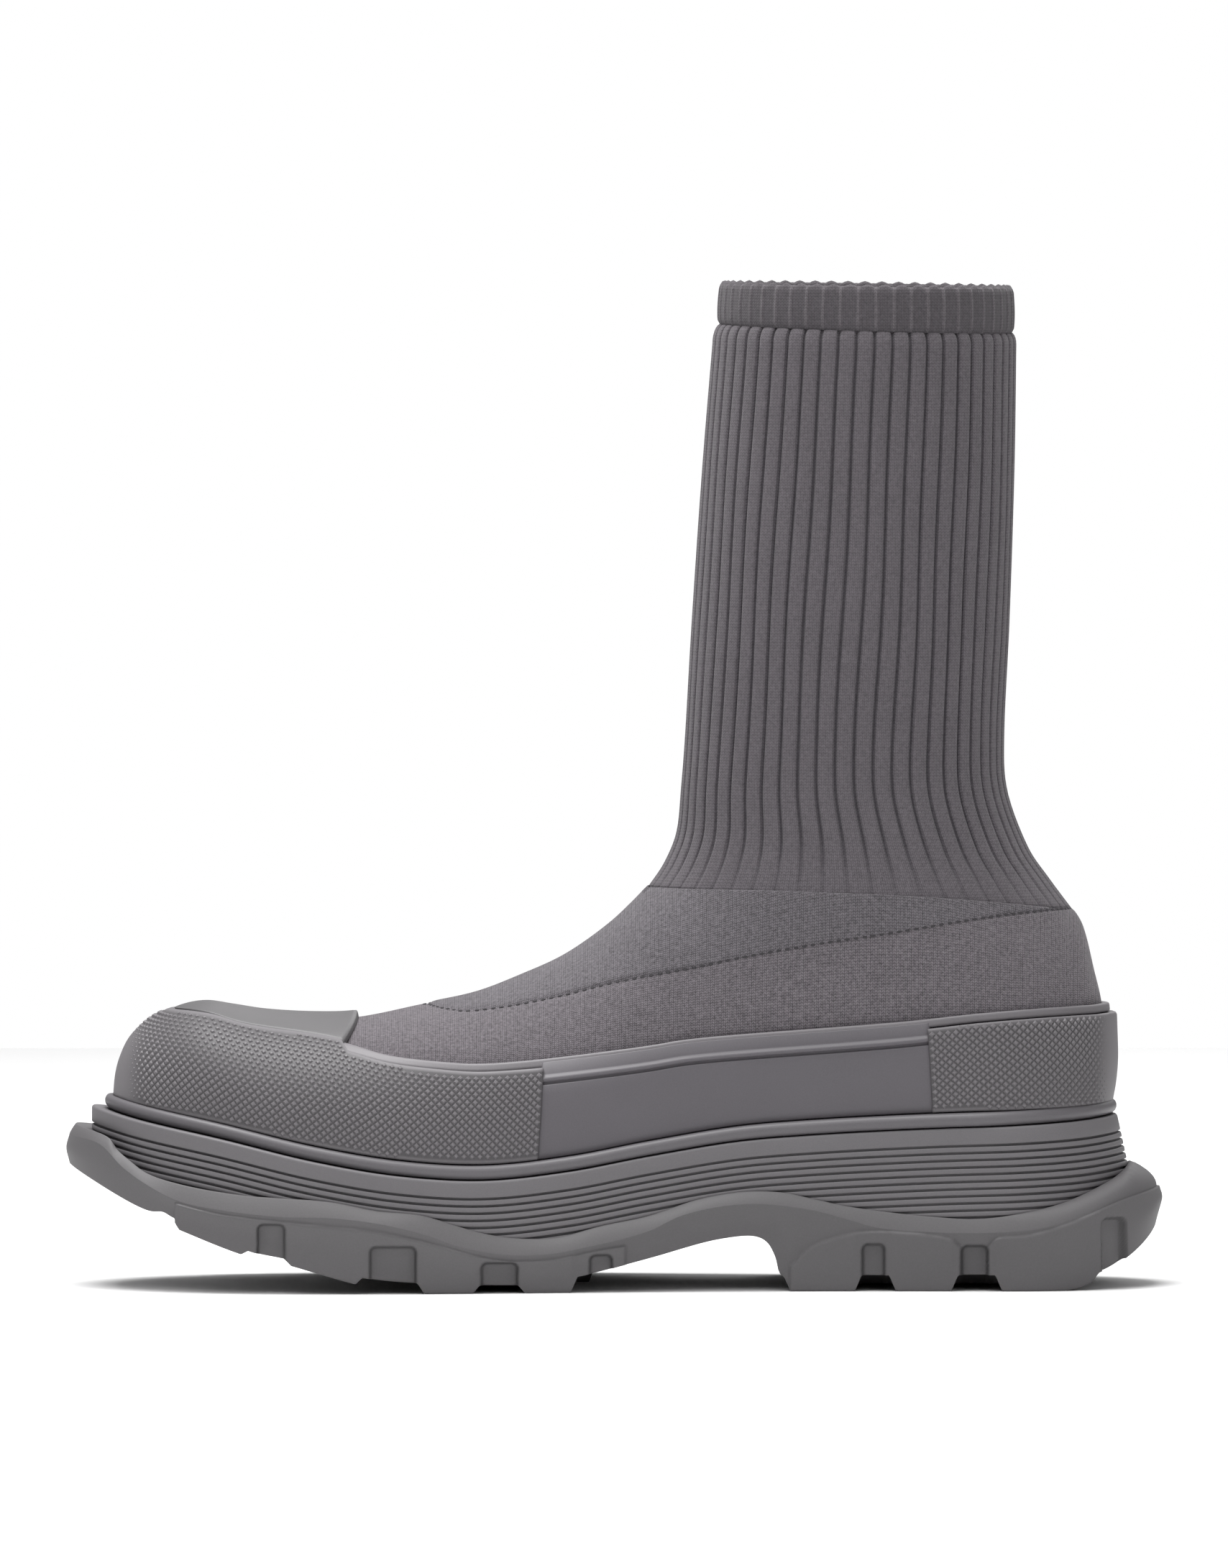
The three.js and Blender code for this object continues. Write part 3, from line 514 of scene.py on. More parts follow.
def makeKnitGroup():
    tree, given, out = newGroup("knitSkin", "ShaderNodeTree", [
        ("Place", vectorSocket, None), ("Colour", colourSocket, (0.12, 0.11, 0.12, 1)),
        ("Wales", floatSocket, 850.0), ("Courses", floatSocket, 1100.0), ("Melange", floatSocket, 0.5),
        ("Relief", floatSocket, 0.5)],
        [("Colour", colourSocket), ("Roughness", floatSocket), ("Height", floatSocket)])
    split = put(tree, "ShaderNodeSeparateXYZ")
    link(tree, given["Place"], split.inputs[0])
    wale = calc(tree, "FRACT", calc(tree, "MULTIPLY", split.outputs[0], given["Wales"]))
    lean = calc(tree, "ABSOLUTE", calc(tree, "SUBTRACT", wale, 0.5))
    rise = calc(tree, "MULTIPLY", split.outputs[1], given["Courses"])
    course = calc(tree, "FRACT", calc(tree, "ADD", rise, calc(tree, "MULTIPLY", lean, 1.3)))
    loopLeg = calc(tree, "MULTIPLY", ramp(tree, lean, 0.5, 0.3), ramp(tree, lean, 0.0, 0.14))
    loopRow = calc(tree, "MULTIPLY", ramp(tree, course, 0.0, 0.35), ramp(tree, course, 1.0, 0.65))
    loop = calc(tree, "MULTIPLY", loopLeg, loopRow)
    place = put(tree, "ShaderNodeTexCoord").outputs["Object"]
    fibre = noise(tree, place, 1100.0, 4.0)
    speck = swing(tree, fibre, given["Melange"])
    cloudy = swing(tree, noise(tree, place, 60.0, 3.0), 0.16)
    # the stitch loops lighter and the gaps between them darker: painted shade between the loops
    relief = swing(tree, loop, given["Relief"])
    link(tree, shade(tree, given["Colour"], chain(tree, "ADD", speck, cloudy, relief, 1.0)), out["Colour"])
    link(tree, calc(tree, "ADD", 0.9, calc(tree, "MULTIPLY", speck, 0.1)), out["Roughness"])
    link(tree, calc(tree, "ADD", loop, calc(tree, "MULTIPLY", fibre, 0.5)), out["Height"])
    return tree


rubberSkin = makeRubberGroup()
knitSkin = makeKnitGroup()


def newMaterial(name):
    made = bpy.data.materials.new(name)
    made.use_nodes = True
    return made, made.node_tree, made.node_tree.nodes["Principled BSDF"]


def finishSurface(tree, shader, group, colour, strength, distance):
    link(tree, colour, shader.inputs["Base Color"])
    link(tree, group.outputs["Roughness"], shader.inputs["Roughness"])
    bump = put(tree, "ShaderNodeBump")
    setInputs(bump, {"Strength": strength, "Distance": distance})
    link(tree, group.outputs["Height"], bump.inputs["Height"])
    link(tree, bump.outputs[0], shader.inputs["Normal"])


def tinted(tree, colour, attribute, tint):
    amount = put(tree, "ShaderNodeAttribute", attribute_name=attribute).outputs["Fac"]
    return mixColour(tree, amount, colour, mixColour(tree, 1.0, colour, (*tint, 1), "MULTIPLY"))


def rubber(name, colour, roughness, grain=2600.0, bump=0.12, crease=None):
    made, tree, shader = newMaterial(name)
    group = put(tree, "ShaderNodeGroup", node_tree=rubberSkin)
    setInputs(group, {"Colour": (*colour, 1), "Grain": grain, "Roughness": roughness})
    setInputs(shader, {"Specular IOR Level": 0.42})
    result = group.outputs["Colour"]
    # the crease mask darkens the colour: painted shade between the studs, in the midsole's rib grooves and
    # along the outsole's window rims
    if crease:
        result = tinted(tree, result, "crease", crease)
    finishSurface(tree, shader, group, result, bump, 0.1 * mm)
    return made


def knit(name, colour, wales, courses, melange, relief, groove=None, upperZone=None):
    made, tree, shader = newMaterial(name)
    group = put(tree, "ShaderNodeGroup", node_tree=knitSkin)
    place = put(tree, "ShaderNodeUVMap", uv_map="cloth")
    link(tree, place.outputs[0], group.inputs["Place"])
    setInputs(group, {"Colour": (*colour, 1), "Wales": wales, "Courses": courses, "Melange": melange,
                      "Relief": relief})
    setInputs(shader, {"Specular IOR Level": 0.2, "Sheen Weight": 0.12, "Sheen Roughness": 0.5})
    result = group.outputs["Colour"]
    # zone is the two-tone knit of the foot; the rib groove mask paints shade into the shaft's grooves and a
    # highlight onto the cuff's raised ridges
    for attribute, tint in (("zone", upperZone), ("ribShadeAndHighlight", groove)):
        if tint:
            result = tinted(tree, result, attribute, tint)
    finishSurface(tree, shader, group, result, 0.5, 0.25 * mm)
    return made


finish = {
    "panel": rubber("panelRubber", (0.096, 0.089, 0.099), 0.5),
    "rim": rubber("rimRubber", (0.150, 0.141, 0.150), 0.5),
    "cap": rubber("capRubber", (0.099, 0.096, 0.099), 0.48),
    # studded rubber, half as bright where the studs stand: painted shade between the studs
    "texture": rubber("studRubber", (0.143, 0.135, 0.143), 0.56, crease=(0.5, 0.5, 0.5)),
    "bead": rubber("beadRubber", (0.108, 0.102, 0.110), 0.46),
    # painted shade in the midsole's rib grooves
    "midsole": rubber("midsoleRubber", (0.126, 0.120, 0.127), 0.56, crease=(0.5, 0.5, 0.5)),
    # painted shade along the outsole's window rims
    "outsole": rubber("outsoleRubber", (0.096, 0.092, 0.096), 0.6, grain=1900.0, bump=0.18,
                      crease=(0.45, 0.45, 0.45)),
    "footKnit": knit("footKnit", (0.127, 0.115, 0.126), 900.0, 1150.0, 1.5, 0.75,
                     upperZone=(0.9, 0.92, 0.92)),
    # painted shade in the rib grooves
    "ribKnit": knit("ribKnit", (0.106, 0.096, 0.106), 1000.0, 1150.0, 0.85, 0.4,
                    groove=(0.55, 0.55, 0.57)),
    # painted highlight on the cuff's raised ridges
    "cuffKnit": knit("cuffKnit", (0.076, 0.069, 0.076), 1000.0, 1150.0, 0.85, 0.4,
                     groove=(1.45, 1.45, 1.43)),
    "seamDot": rubber("seamThread", (0.045, 0.042, 0.046), 0.9),
    "insole": knit("insoleCloth", (0.1, 0.094, 0.1), 700.0, 700.0, 0.3, 0.3),
}
print("materials ready")

geometrySocket, materialSocket = "NodeSocketGeometry", "NodeSocketMaterial"


def readNamed(tree, name, kind="FLOAT"):
    made = put(tree, "GeometryNodeInputNamedAttribute", data_type=kind)
    made.inputs["Name"].default_value = name
    return made.outputs[0]


def endTree(tree, geometry, material, out):
    real = put(tree, "GeometryNodeRealizeInstances")
    link(tree, geometry, real.inputs[0])
    dress = put(tree, "GeometryNodeSetMaterial")
    link(tree, real.outputs[0], dress.inputs["Geometry"])
    link(tree, material, dress.inputs["Material"])
    link(tree, dress.outputs[0], out["Geometry"])


def makeRibbingTree():
    tree, given, out = newGroup("ribbing", "GeometryNodeTree", [
        ("Geometry", geometrySocket, None), ("Groove depth", floatSocket, 0.001),
        ("Groove share", floatSocket, 0.2), ("Edge share", floatSocket, 0.16),
        ("Crown", floatSocket, 0.0002), ("Material", materialSocket, None)],
        [("Geometry", geometrySocket)])
    fade = readNamed(tree, "ribFade")
    phase = calc(tree, "FRACT", readNamed(tree, "ribPhase"))
    away = calc(tree, "ABSOLUTE", calc(tree, "SUBTRACT", phase, 0.5))
    half = calc(tree, "MULTIPLY", given["Groove share"], 0.5)
    groove = ramp(tree, away, half, calc(tree, "ADD", half, given["Edge share"]), 1.0, 0.0)
    groove = calc(tree, "MULTIPLY", groove, fade)
    slope = calc(tree, "POWER", calc(tree, "MULTIPLY", calc(tree, "SUBTRACT", 0.5, away), 2.0), 2.0)
    crown = chain(tree, "MULTIPLY", slope, given["Crown"], fade)
    depth = calc(tree, "ADD", calc(tree, "MULTIPLY", groove, given["Groove depth"]), crown)
    inwards = put(tree, "ShaderNodeVectorMath", operation="SCALE")
    link(tree, put(tree, "GeometryNodeInputNormal").outputs[0], inwards.inputs[0])
    link(tree, calc(tree, "MULTIPLY", depth, -1.0), inwards.inputs["Scale"])
    # the groove mask goes to the material for painted shade in the grooves and, on the cuff, a painted
    # highlight on the raised ridges
    store = put(tree, "GeometryNodeStoreNamedAttribute", data_type="FLOAT", domain="POINT")
    store.inputs["Name"].default_value = "ribShadeAndHighlight"
    link(tree, given["Geometry"], store.inputs["Geometry"])
    link(tree, groove, store.inputs["Value"])
    move = put(tree, "GeometryNodeSetPosition")
    link(tree, store.outputs[0], move.inputs["Geometry"])
    link(tree, inwards.outputs[0], move.inputs["Offset"])
    endTree(tree, move.outputs[0], given["Material"], out)
    return tree


def makeStudTree():
    tree, given, out = newGroup("studsOnPoints", "GeometryNodeTree", [
        ("Geometry", geometrySocket, None), ("Sides", "NodeSocketInt", 4),
        ("Foot radius", floatSocket, 0.001),
        ("Top radius", floatSocket, 0.0005), ("Height", floatSocket, 0.0003), ("Stretch", floatSocket, 1.0),
        ("Material", materialSocket, None)], [("Geometry", geometrySocket)])
    grow = readNamed(tree, "grow")
    stud = put(tree, "GeometryNodeMeshCone", fill_type="NGON")
    for socket, key in (("Vertices", "Sides"), ("Radius Bottom", "Foot radius"),
                        ("Radius Top", "Top radius"), ("Depth", "Height")):
        link(tree, given[key], stud.inputs[socket])
    turn = put(tree, "FunctionNodeAxesToRotation", primary_axis="Z", secondary_axis="X")
    link(tree, readNamed(tree, "facing", "FLOAT_VECTOR"), turn.inputs[0])
    link(tree, readNamed(tree, "along", "FLOAT_VECTOR"), turn.inputs[1])
    size = put(tree, "ShaderNodeCombineXYZ")
    link(tree, calc(tree, "MULTIPLY", grow, given["Stretch"]), size.inputs[0])
    link(tree, grow, size.inputs[1])
    link(tree, grow, size.inputs[2])
    spread = put(tree, "GeometryNodeInstanceOnPoints")
    link(tree, given["Geometry"], spread.inputs["Points"])
    link(tree, stud.outputs[0], spread.inputs["Instance"])
    link(tree, turn.outputs[0], spread.inputs["Rotation"])
    link(tree, size.outputs[0], spread.inputs["Scale"])
    endTree(tree, spread.outputs[0], given["Material"], out)
    return tree


def runTree(piece, tree, **values):
    modifier = piece.modifiers.new(tree.name, "NODES")
    modifier.node_group = tree
    wanted = {key.replace("_", " ").lower(): value for key, value in values.items()}
    for item in tree.interface.items_tree:
        if item.item_type == "SOCKET" and item.in_out == "INPUT" and item.name.lower() in wanted:
            modifier[item.identifier] = wanted[item.name.lower()]
    bpy.context.view_layer.update()
    seen = piece.evaluated_get(bpy.context.evaluated_depsgraph_get())
    made = bpy.data.meshes.new_from_object(seen)
    piece.modifiers.clear()
    piece.data = made
    made.name = piece.name
    return piece


ribbing = makeRibbingTree()
studTree = makeStudTree()


def settle(piece, slot, *nodes):
    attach(piece, "root")
    if nodes:
        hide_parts(*nodes)


# knit of the foot, from under the foxing to the ribs
foot = {
    "columns": 520,
    "hiddenRows": 6,
    "rows": 116,
    "climb": 4,
    "seamStep": 0.35 * mm,    # upper knit stands over the lower along the seam
    "seamRun": 1.1 * mm,
    "seamGroove": 0.45 * mm,
}
rimFront = lineEnds(rimTop)[0]


def vampRing(level, turns):
    front = rimFront + level * (throatX - rimFront)

    def ceiling(x):
        return np.where(x < throatX, toeAndInstep(x), ribLine(np.minimum(x, heelCornerX)))

    def line(x):
        share = np.clip((x - front) / (lastHeel - front), 0, 1)
        rise = level + (1 - level) * (1 - share) ** foot["climb"]
        return rimTop(x) + rise * (ceiling(x) - rimTop(x))

    back = crossing(lambda x: line(x) - upperTop(x), heelCornerX, lastHeel)
    return ringPoints(line, turns, (front, back))


def shaftRow(table, up, turns):
    drop, centre, depth, width = (through(table[:, 0], table[:, k], up) for k in (1, 2, 3, 4))
    share = (1 - np.cos(turns)) / 2
    side = -np.sin(turns)
    return np.stack([sideX(centre) + depth * boot["shaftDepth"] * (share - 0.5),
                     side * width * boot["shaftWidth"] / 2,
                     boot["throatHeight"] + up * shaftHeight - drop * boot["heelDrop"] * share], -1)


def makeFootKnit(f):
    turns = np.linspace(0, 2 * math.pi, f["columns"], endpoint=False)
    rows = []
    for level in np.linspace(0, 1, f["hiddenRows"], endpoint=False):
        line = (lambda x, k=level: lowEdge(x) + k * (rimTop(x) - lowEdge(x)))
        rows.append(ringPoints(line, turns, lineEnds(line)))
    for level in np.linspace(0, 0.992, f["rows"]):
        rows.append(vampRing(level, turns))
    rows.append(shaftRow(shaftTable, 0.0, turns))
    p = np.array(rows)
    normals = gridNormals(p, True)
    height = p[..., 2] - seamLine(p[..., 0])
    ahead = p[..., 0] < sideX(0.298)
    height = np.where(ahead, -1.0, height)
    zone = ease(height / f["seamRun"] + 0.5)
    groove = np.exp(-(height / (0.5 * mm)) ** 2)
    outer = p + normals * (zone * f["seamStep"] - groove * f["seamGroove"])[..., None]
    inner = (p - normals * boot["knitWall"])[::6]
    inner[0, :, 2] = outer[0, :, 2]
    # the normals turn over where the rings meet at the throat, so the lining ends on shrunk copies of the edge
    middle = p[-1].mean(0)
    for k, reach in ((-1, 0.95), (-2, 0.93), (-3, 0.9)):
        inner[k] = middle + (p[-1] - middle) * (reach, reach, 1) + (0, 0, (k + 0.7) * 1.5 * mm)
    rings = np.concatenate([outer, inner[::-1]])
    share = (p[..., 0] - lastToe) / boot["lastLength"]
    half = planAt(share, boot["ballWidth"])[1]
    across = p[..., 2] + np.maximum(0, half - np.abs(p[..., 1]))
    uv = np.stack([p[..., 0], across], -1)
    uv = np.concatenate([uv, uv[::6][::-1]])
    zones = np.concatenate([zone, zone[::6][::-1]])
    return addLoop("footKnit", rings, attributes={"zone": zones}, uv=uv.reshape(-1, 2),
                   material=finish["footKnit"], merge=False)


settle(makeFootKnit(foot), "knit", "upper")
print("foot knit made")

# ribbed shaft and its turned cuff
shaft = {
    "ribs": 52,
    "rows": 76,
    "grooveDepth": 1.0 * mm,
    "grooveShare": 0.03,
    "grooveEdge": 0.13,
    "crown": 0.25 * mm,
    "places": (0.0, 0.2, 0.34, 0.4, 0.45, 0.5, 0.55, 0.6, 0.66, 0.8),   # columns over one rib
    "wander": 0.008,          # how far the ribs stray, as a turn
    "shoulder": 2.1 * mm,
    "cuffRows": 16,
    "cuffBulge": 0.5 * mm,
    "cuffRound": 0.265,
    "ridge": 0.45 * mm,
    "scallop": 0.4 * mm,
}


def ribColumns(s):
    phase = (np.arange(s["ribs"])[:, None] + np.array(s["places"])).ravel()
    return phase, phase * 2 * math.pi / s["ribs"]


def outwards(p, middle):
    return unit((p - middle) * (1, 1, 0))


def addRibbed(name, rings, fade, phase, turns, around):
    full = np.ones(rings.shape[:2])
    uv = np.stack([turns / (2 * math.pi) * around * full, rings[..., 2]], -1)
    return addLoop(name, rings, attributes={"ribPhase": full * phase, "ribFade": full * fade[:, None]},
                   uv=uv.reshape(-1, 2), merge=False)


def makeShaft(s):
    phase, turns = ribColumns(s)
    rows, fade = [], []
    for up in np.concatenate([np.linspace(0.0, 0.1, 14), np.linspace(0.107, 0.9, s["rows"] - 14)]):
        stray = s["wander"] * np.sin(11 * up + 5 * turns) * np.sin(3.5 * up)
        rows.append(shaftRow(shaftTable, up, turns + stray))
        fade.append(0.25 + 0.75 * ease(up / 0.12))
    last = rows[-1]
    middle = np.array([sideX(0.7553), 0.0, 0.0])
    for k in np.linspace(0.15, 1, 7):
        bend = k * math.pi / 2
        pulled = last - outwards(last, middle) * s["shoulder"] * (1 - math.cos(bend)) * 1.3
        drop = 0.43 * boot["heelDrop"] * (1 - np.cos(turns)) / 2
        pulled[:, 2] = last[:, 2] + (0.034 * shaftHeight * math.sin(bend)) - drop * k
        rows.append(pulled)
        fade.append(1.0)
    outer = np.array(rows)
    inner = (outer - gridNormals(outer, True) * boot["knitWall"])[::4]
    rings = np.concatenate([outer, inner[::-1]])
    fade = np.concatenate([fade, np.zeros(len(inner))])
    piece = addRibbed("shaftKnit", rings, fade, phase, turns, boot["shaftDepth"] * 2.95)
    return runTree(piece, ribbing, groove_depth=s["grooveDepth"], groove_share=s["grooveShare"],
                   edge_share=s["grooveEdge"], crown=s["crown"], material=finish["ribKnit"])


def makeCuff(s):
    phase, turns = ribColumns(s)
    wall = boot["knitWall"]
    rows, fade = [], []
    middle = np.array([sideX(0.7557), 0.0, 0.0])
    wave = np.cos(2 * math.pi * phase)
    for k in np.linspace(0, 1, s["cuffRows"]):
        p = shaftRow(cuffTable, 0.932 + 0.06 * k, turns)
        bulge = s["cuffBulge"] * math.sin(math.pi * min(1, k * 6) / 2) + 0.2 * mm * math.sin(math.pi * k)
        rows.append(p + outwards(p, middle) * bulge)
        fade.append(ease(k * 6))
    for bend in np.linspace(0.2, 1, 6) * math.pi:
        p = shaftRow(cuffTable, 0.992, turns)
        out = s["cuffBulge"] - wall * 0.62 * (1 - math.cos(bend))
        puff = (1.0 + 0.12 * wave) * math.sin(bend)
        p = p + outwards(p, middle) * out
        p[:, 2] += 2.0 * mm * puff + s["scallop"] * wave * 0.35 * math.sin(bend)
        rows.append(p)
        fade.append(1 - bend / math.pi)
    for k in np.linspace(0.85, 0, 6):
        p = shaftRow(cuffTable, 0.932 + 0.06 * k, turns)
        rows.append(p + outwards(p, middle) * (s["cuffBulge"] - wall * 1.24 - 0.25 * mm * wave[:, None]))
        fade.append(0)
    piece = addRibbed("cuffKnit", np.array(rows), np.array(fade), phase, turns, s["cuffRound"])
    return runTree(piece, ribbing, groove_depth=-s["ridge"], groove_share=0.05, edge_share=0.12,
                   crown=0.12 * mm, material=finish["cuffKnit"])


settle(makeShaft(shaft), "knit")
settle(makeCuff(shaft), "knit")
print("shaft and cuff made")

# rubber foxing laid over the knit
foxing = {
    "thick": 4 * mm,
    "rimThick": 2 * mm,
    "panelThick": 3.1 * mm,
    "grooveThick": 2.2 * mm,
    "capThick": 1.9 * mm,
    "rimStrip": 2.6 * mm,
    "ridgeDrop": 5.5 * mm,    # from the rim's top to the ridge over the side panel
    "ridgeStrip": 1.3 * mm,
    "ridgeThick": 3.4 * mm,
    "bandThick": 2.2 * mm,
    "grooveStrip": 0.9 * mm,
    "endEdge": 0.7 * mm,
    "beadHeight": 4.2 * mm,
    "beadReach": 2.2 * mm,
    "capRear": (0.236, 0.221),
    "bumperRear": 0.427,
    "bumperLean": -2.2 * mm,
    "counterFront": 0.8165,
    "counterLean": 2 * mm,
}


def foxingLow(x):
    return lowEdge(x) + foxing["beadHeight"] + boot["gap"]


def rimLow(x):
    return rimTop(x) - foxing["rimStrip"]


def shifted(line, amount):
    return lambda x: line(x) + amount


def rise(thick, normals):
    # foxing thins out where the skin turns up over the toes
    return thick * (1 - 0.5 * np.clip(normals[:, 2], 0, 1) ** 2)


def between(low, high, k):
    return lambda x: low(x) + k * (high(x) - low(x))


# rows of a strip: a line and a thickness, rounded at both edges
def roundedRows(low, high, thick, count, edge=0.7 * mm):
    steps = [(0.0, 0.0), (0.0, thick - 0.9 * edge), (0.28 * edge, thick - 0.3 * edge), (edge, thick)]
    rows = [(shifted(low, d), t) for d, t in steps]
    rows += [(between(shifted(low, edge), shifted(high, -edge), k), thick)
             for k in np.linspace(0, 1, count)[1:-1]]
    return rows + [(shifted(high, -d), t) for d, t in steps[::-1]]


def stripGrid(rows, spanOf, columns, shadeFieldOf=None):
    endEdge = foxing["endEdge"]
    outer, inner, field = [], [], []
    for line, thick in rows:
        a, b = spanOf(line)
        step = endEdge / (boot["lastLength"] / 2 * max(0.2, abs(math.sin(a))))
        turns = np.linspace(a + step, b - step, columns)
        turns = np.concatenate([a + step * np.array([0, 0, 0.3]), turns, b - step * np.array([0.3, 0, 0])])
        p, n = skin(line, turns)
        lift = np.full(len(turns), float(thick))
        lift[[0, -1]] = 0
        lift[[1, -2]] = max(0, thick - 0.9 * endEdge)
        lift[[2, -3]] = max(0, thick - 0.3 * endEdge)
        outer.append(p + n * (boot["gap"] + rise(lift, n))[:, None])
        inner.append(p + n * (0.5 * boot["gap"]))
        # the field marks where the crease mask paints shade
        field.append(shadeFieldOf(p) if shadeFieldOf else np.zeros(len(p)))
    return np.array(outer), np.array(inner), np.array([field, field])


def leaning(place, lean, low, high):
    # x of a slanted end at the height of a line
    def at(line):
        z, a, b = line(place), low(place), high(place)
        return place + lean * (b - z) / (b - a)
    return at


bumperEnd = leaning(sideX(foxing["bumperRear"]), foxing["bumperLean"], foxingLow, rimTop)
counterEnd = leaning(sideX(foxing["counterFront"]), foxing["counterLean"], foxingLow, rimTop)


def toeSpan(line):
    t = turnAt(line, bumperEnd(line))
    return -t, t


def heelSpan(line):
    t = turnAt(line, counterEnd(line))
    return t, 2 * math.pi - t


def innerSpan(line):
    return turnAt(line, bumperEnd(line) - foxing["endEdge"]), turnAt(line, counterEnd(line) + foxing["endEdge"])


def outerSpan(line):
    a, b = innerSpan(line)
    return 2 * math.pi - b, 2 * math.pi - a


def rimSpan(line):
    t = turnAt(line, sideX(foxing["capRear"][1]) + boot["gap"])
    return t, 2 * math.pi - t


def makeStrip(name, rows, spanOf, columns, material, shadeFieldOf=None):
    outer, inner, field = stripGrid(rows, spanOf, columns, shadeFieldOf)
    return addSlab(name, outer, inner, attributes={"crease": field}, material=material)


def bumperTop(x):
    ahead = ease((sideX(0.228) - x) / (2.5 * mm))
    return rimLow(x) - boot["gap"] + ahead * (foxing["rimStrip"] + boot["gap"])


def makeSideRows(f):
    ridgeHigh = shifted(rimTop, -f["ridgeDrop"])
    ridgeLow = shifted(ridgeHigh, -f["ridgeStrip"])
    grooveLow = shifted(ridgeLow, -f["grooveStrip"])
    bandHigh = shifted(rimTop, -0.9 * mm)
    panel, groove, ridge, band = f["panelThick"], f["grooveThick"], f["ridgeThick"], f["bandThick"]
    edge = 0.35 * mm
    low, high = shifted(foxingLow, edge), shifted(grooveLow, -edge)
    rows = [(foxingLow, 0.0), (foxingLow, panel - 0.5 * mm), (low, panel)]
    rows += [(between(low, high, k), panel) for k in np.linspace(0, 1, 10)[1:]]
    rows += [(grooveLow, panel - 0.15 * mm), (shifted(grooveLow, 0.12 * mm), groove),
             (shifted(ridgeLow, -0.12 * mm), groove), (ridgeLow, ridge - 0.45 * mm),
             (shifted(ridgeLow, 0.3 * mm), ridge - 0.08 * mm), (between(ridgeLow, ridgeHigh, 0.5), ridge),
             (ridgeHigh, ridge - 0.3 * mm), (shifted(ridgeHigh, 0.5 * mm), band + 0.2 * mm),
             (shifted(ridgeHigh, 1 * mm), band), (shifted(bandHigh, -0.4 * mm), band),
             (bandHigh, f["rimThick"] - 0.2 * mm), (bandHigh, 0.0)]
    return rows


# diamond studs on bumper and heel counter, and painted shade on the rubber between them
studs = {
    "halfPitch": 1.19 * mm,
    "rowPitch": 1.08 * mm,
    "footRadius": 0.98 * mm,
    "topRadius": 0.45 * mm,
    "height": 0.5 * mm,
    "edgeClear": 1.25 * mm,
}


def toeFade(p):
    return ease((p[..., 0] - sideX(0.008)) / (8 * mm))


def heelFade(p):
    return ease((sideX(0.995) - p[..., 0]) / (7 * mm))


def studShadeField(low, high, fadeOf):
    # the stud area, where the rubber gets painted shade between the studs; none near the edges and the toe's
    # front
    def shadeFieldOf(p):
        inset = np.minimum(p[..., 2] - low(p[..., 0]), high(p[..., 0]) - p[..., 2])
        return fadeOf(p) * ease((inset - studs["edgeClear"]) / (0.6 * mm) + 0.9)
    return shadeFieldOf


sideRows = makeSideRows(foxing)
settle(makeStrip("toeBumper", roundedRows(foxingLow, bumperTop, foxing["thick"], 36), toeSpan, 300,
                 finish["texture"], studShadeField(foxingLow, bumperTop, toeFade)),
       "textured_rubber", "toe_bumper")
settle(makeStrip("heelCounter", roundedRows(foxingLow, shifted(rimLow, -boot["gap"]), foxing["thick"], 36),
                 heelSpan, 200, finish["texture"], studShadeField(foxingLow, rimLow, heelFade)),
       "textured_rubber", "heel_counter")
settle(makeStrip("sideBandInner", sideRows, innerSpan, 90, finish["panel"]), "foxing_rubber", "side_band_inner")
settle(makeStrip("sideBandOuter", sideRows, outerSpan, 90, finish["panel"]), "foxing_rubber", "side_band_outer")
settle(makeStrip("foxingRim", roundedRows(rimLow, rimTop, foxing["rimThick"], 5, 0.6 * mm), rimSpan, 320,
                 finish["rim"]), "foxing_rubber", "foxing_rim")
print("foxing made")


def makeCap(f):
    columns, rowCount = 90, 70
    w = np.linspace(-1, 1, columns)
    w = np.sign(w) * (1 - (1 - np.abs(w)) ** 1.35)
    rear = sideX(f["capRear"][0])
    front = rimFront + 0.6 * mm
    stations = front + (rear - front) * (1 - np.cos(np.linspace(0, math.pi / 2, rowCount)))
    stations = np.concatenate([stations, [rear + 0.3 * mm, rear + 0.4 * mm]])
    base = []
    for x in stations:
        x = np.full(columns, x)
        s = (x - lastToe) / boot["lastLength"]
        square = through(plan[:, 0], plan[:, 3], s)
        low, top = lowEdge(x), upperTop(x)
        t = np.clip((rimTop(x) + boot["gap"] - low) / (top - low), 0, 1)
        reach = np.sqrt(np.clip(1 - t**square, 0, 1)) * np.abs(w)
        z = low + (top - low) * (1 - reach**2) ** (1 / square)
        base.append(footPoint(x, z, np.sign(w + 1e-9)))
    p = np.array(base)
    lean = (f["capRear"][1] - f["capRear"][0]) * boot["lastLength"]
    p[..., 0] += lean * np.abs(w) ** 3 * (np.arange(len(stations)) / len(stations))[:, None] ** 2
    n = gridNormals(p, False)
    n *= np.sign(n[len(n) // 2, columns // 2, 2])
    edge = np.minimum((1 - np.abs(w)) * 24, 1)[None, :]
    rearEdge = np.ones(len(stations))
    rearEdge[-3:] = 0.93, 0.6, 0
    lift = f["capThick"] * (0.35 + 0.65 * np.sqrt(np.clip(edge, 0, 1))) * rearEdge[:, None]
    outer = p + n * (boot["gap"] + lift)[..., None]
    inner = p + n * (0.5 * boot["gap"])
    return addSlab("toeCap", outer, inner, material=finish["cap"])


settle(makeCap(foxing), "foxing_rubber", "toe_cap")


def addPoints(name, points, facing, along, grow):
    mesh = bpy.data.meshes.new(name)
    mesh.from_pydata(points.tolist(), [], [])
    for key, kind, field, values in (("facing", "FLOAT_VECTOR", "vector", facing),
                                     ("along", "FLOAT_VECTOR", "vector", along),
                                     ("grow", "FLOAT", "value", grow)):
        layer = mesh.attributes.new(key, kind, "POINT")
        layer.data.foreach_set(field, np.asarray(values, np.float32).ravel())
    piece = bpy.data.objects.new(name, mesh)
    scene.collection.objects.link(piece)
    return piece


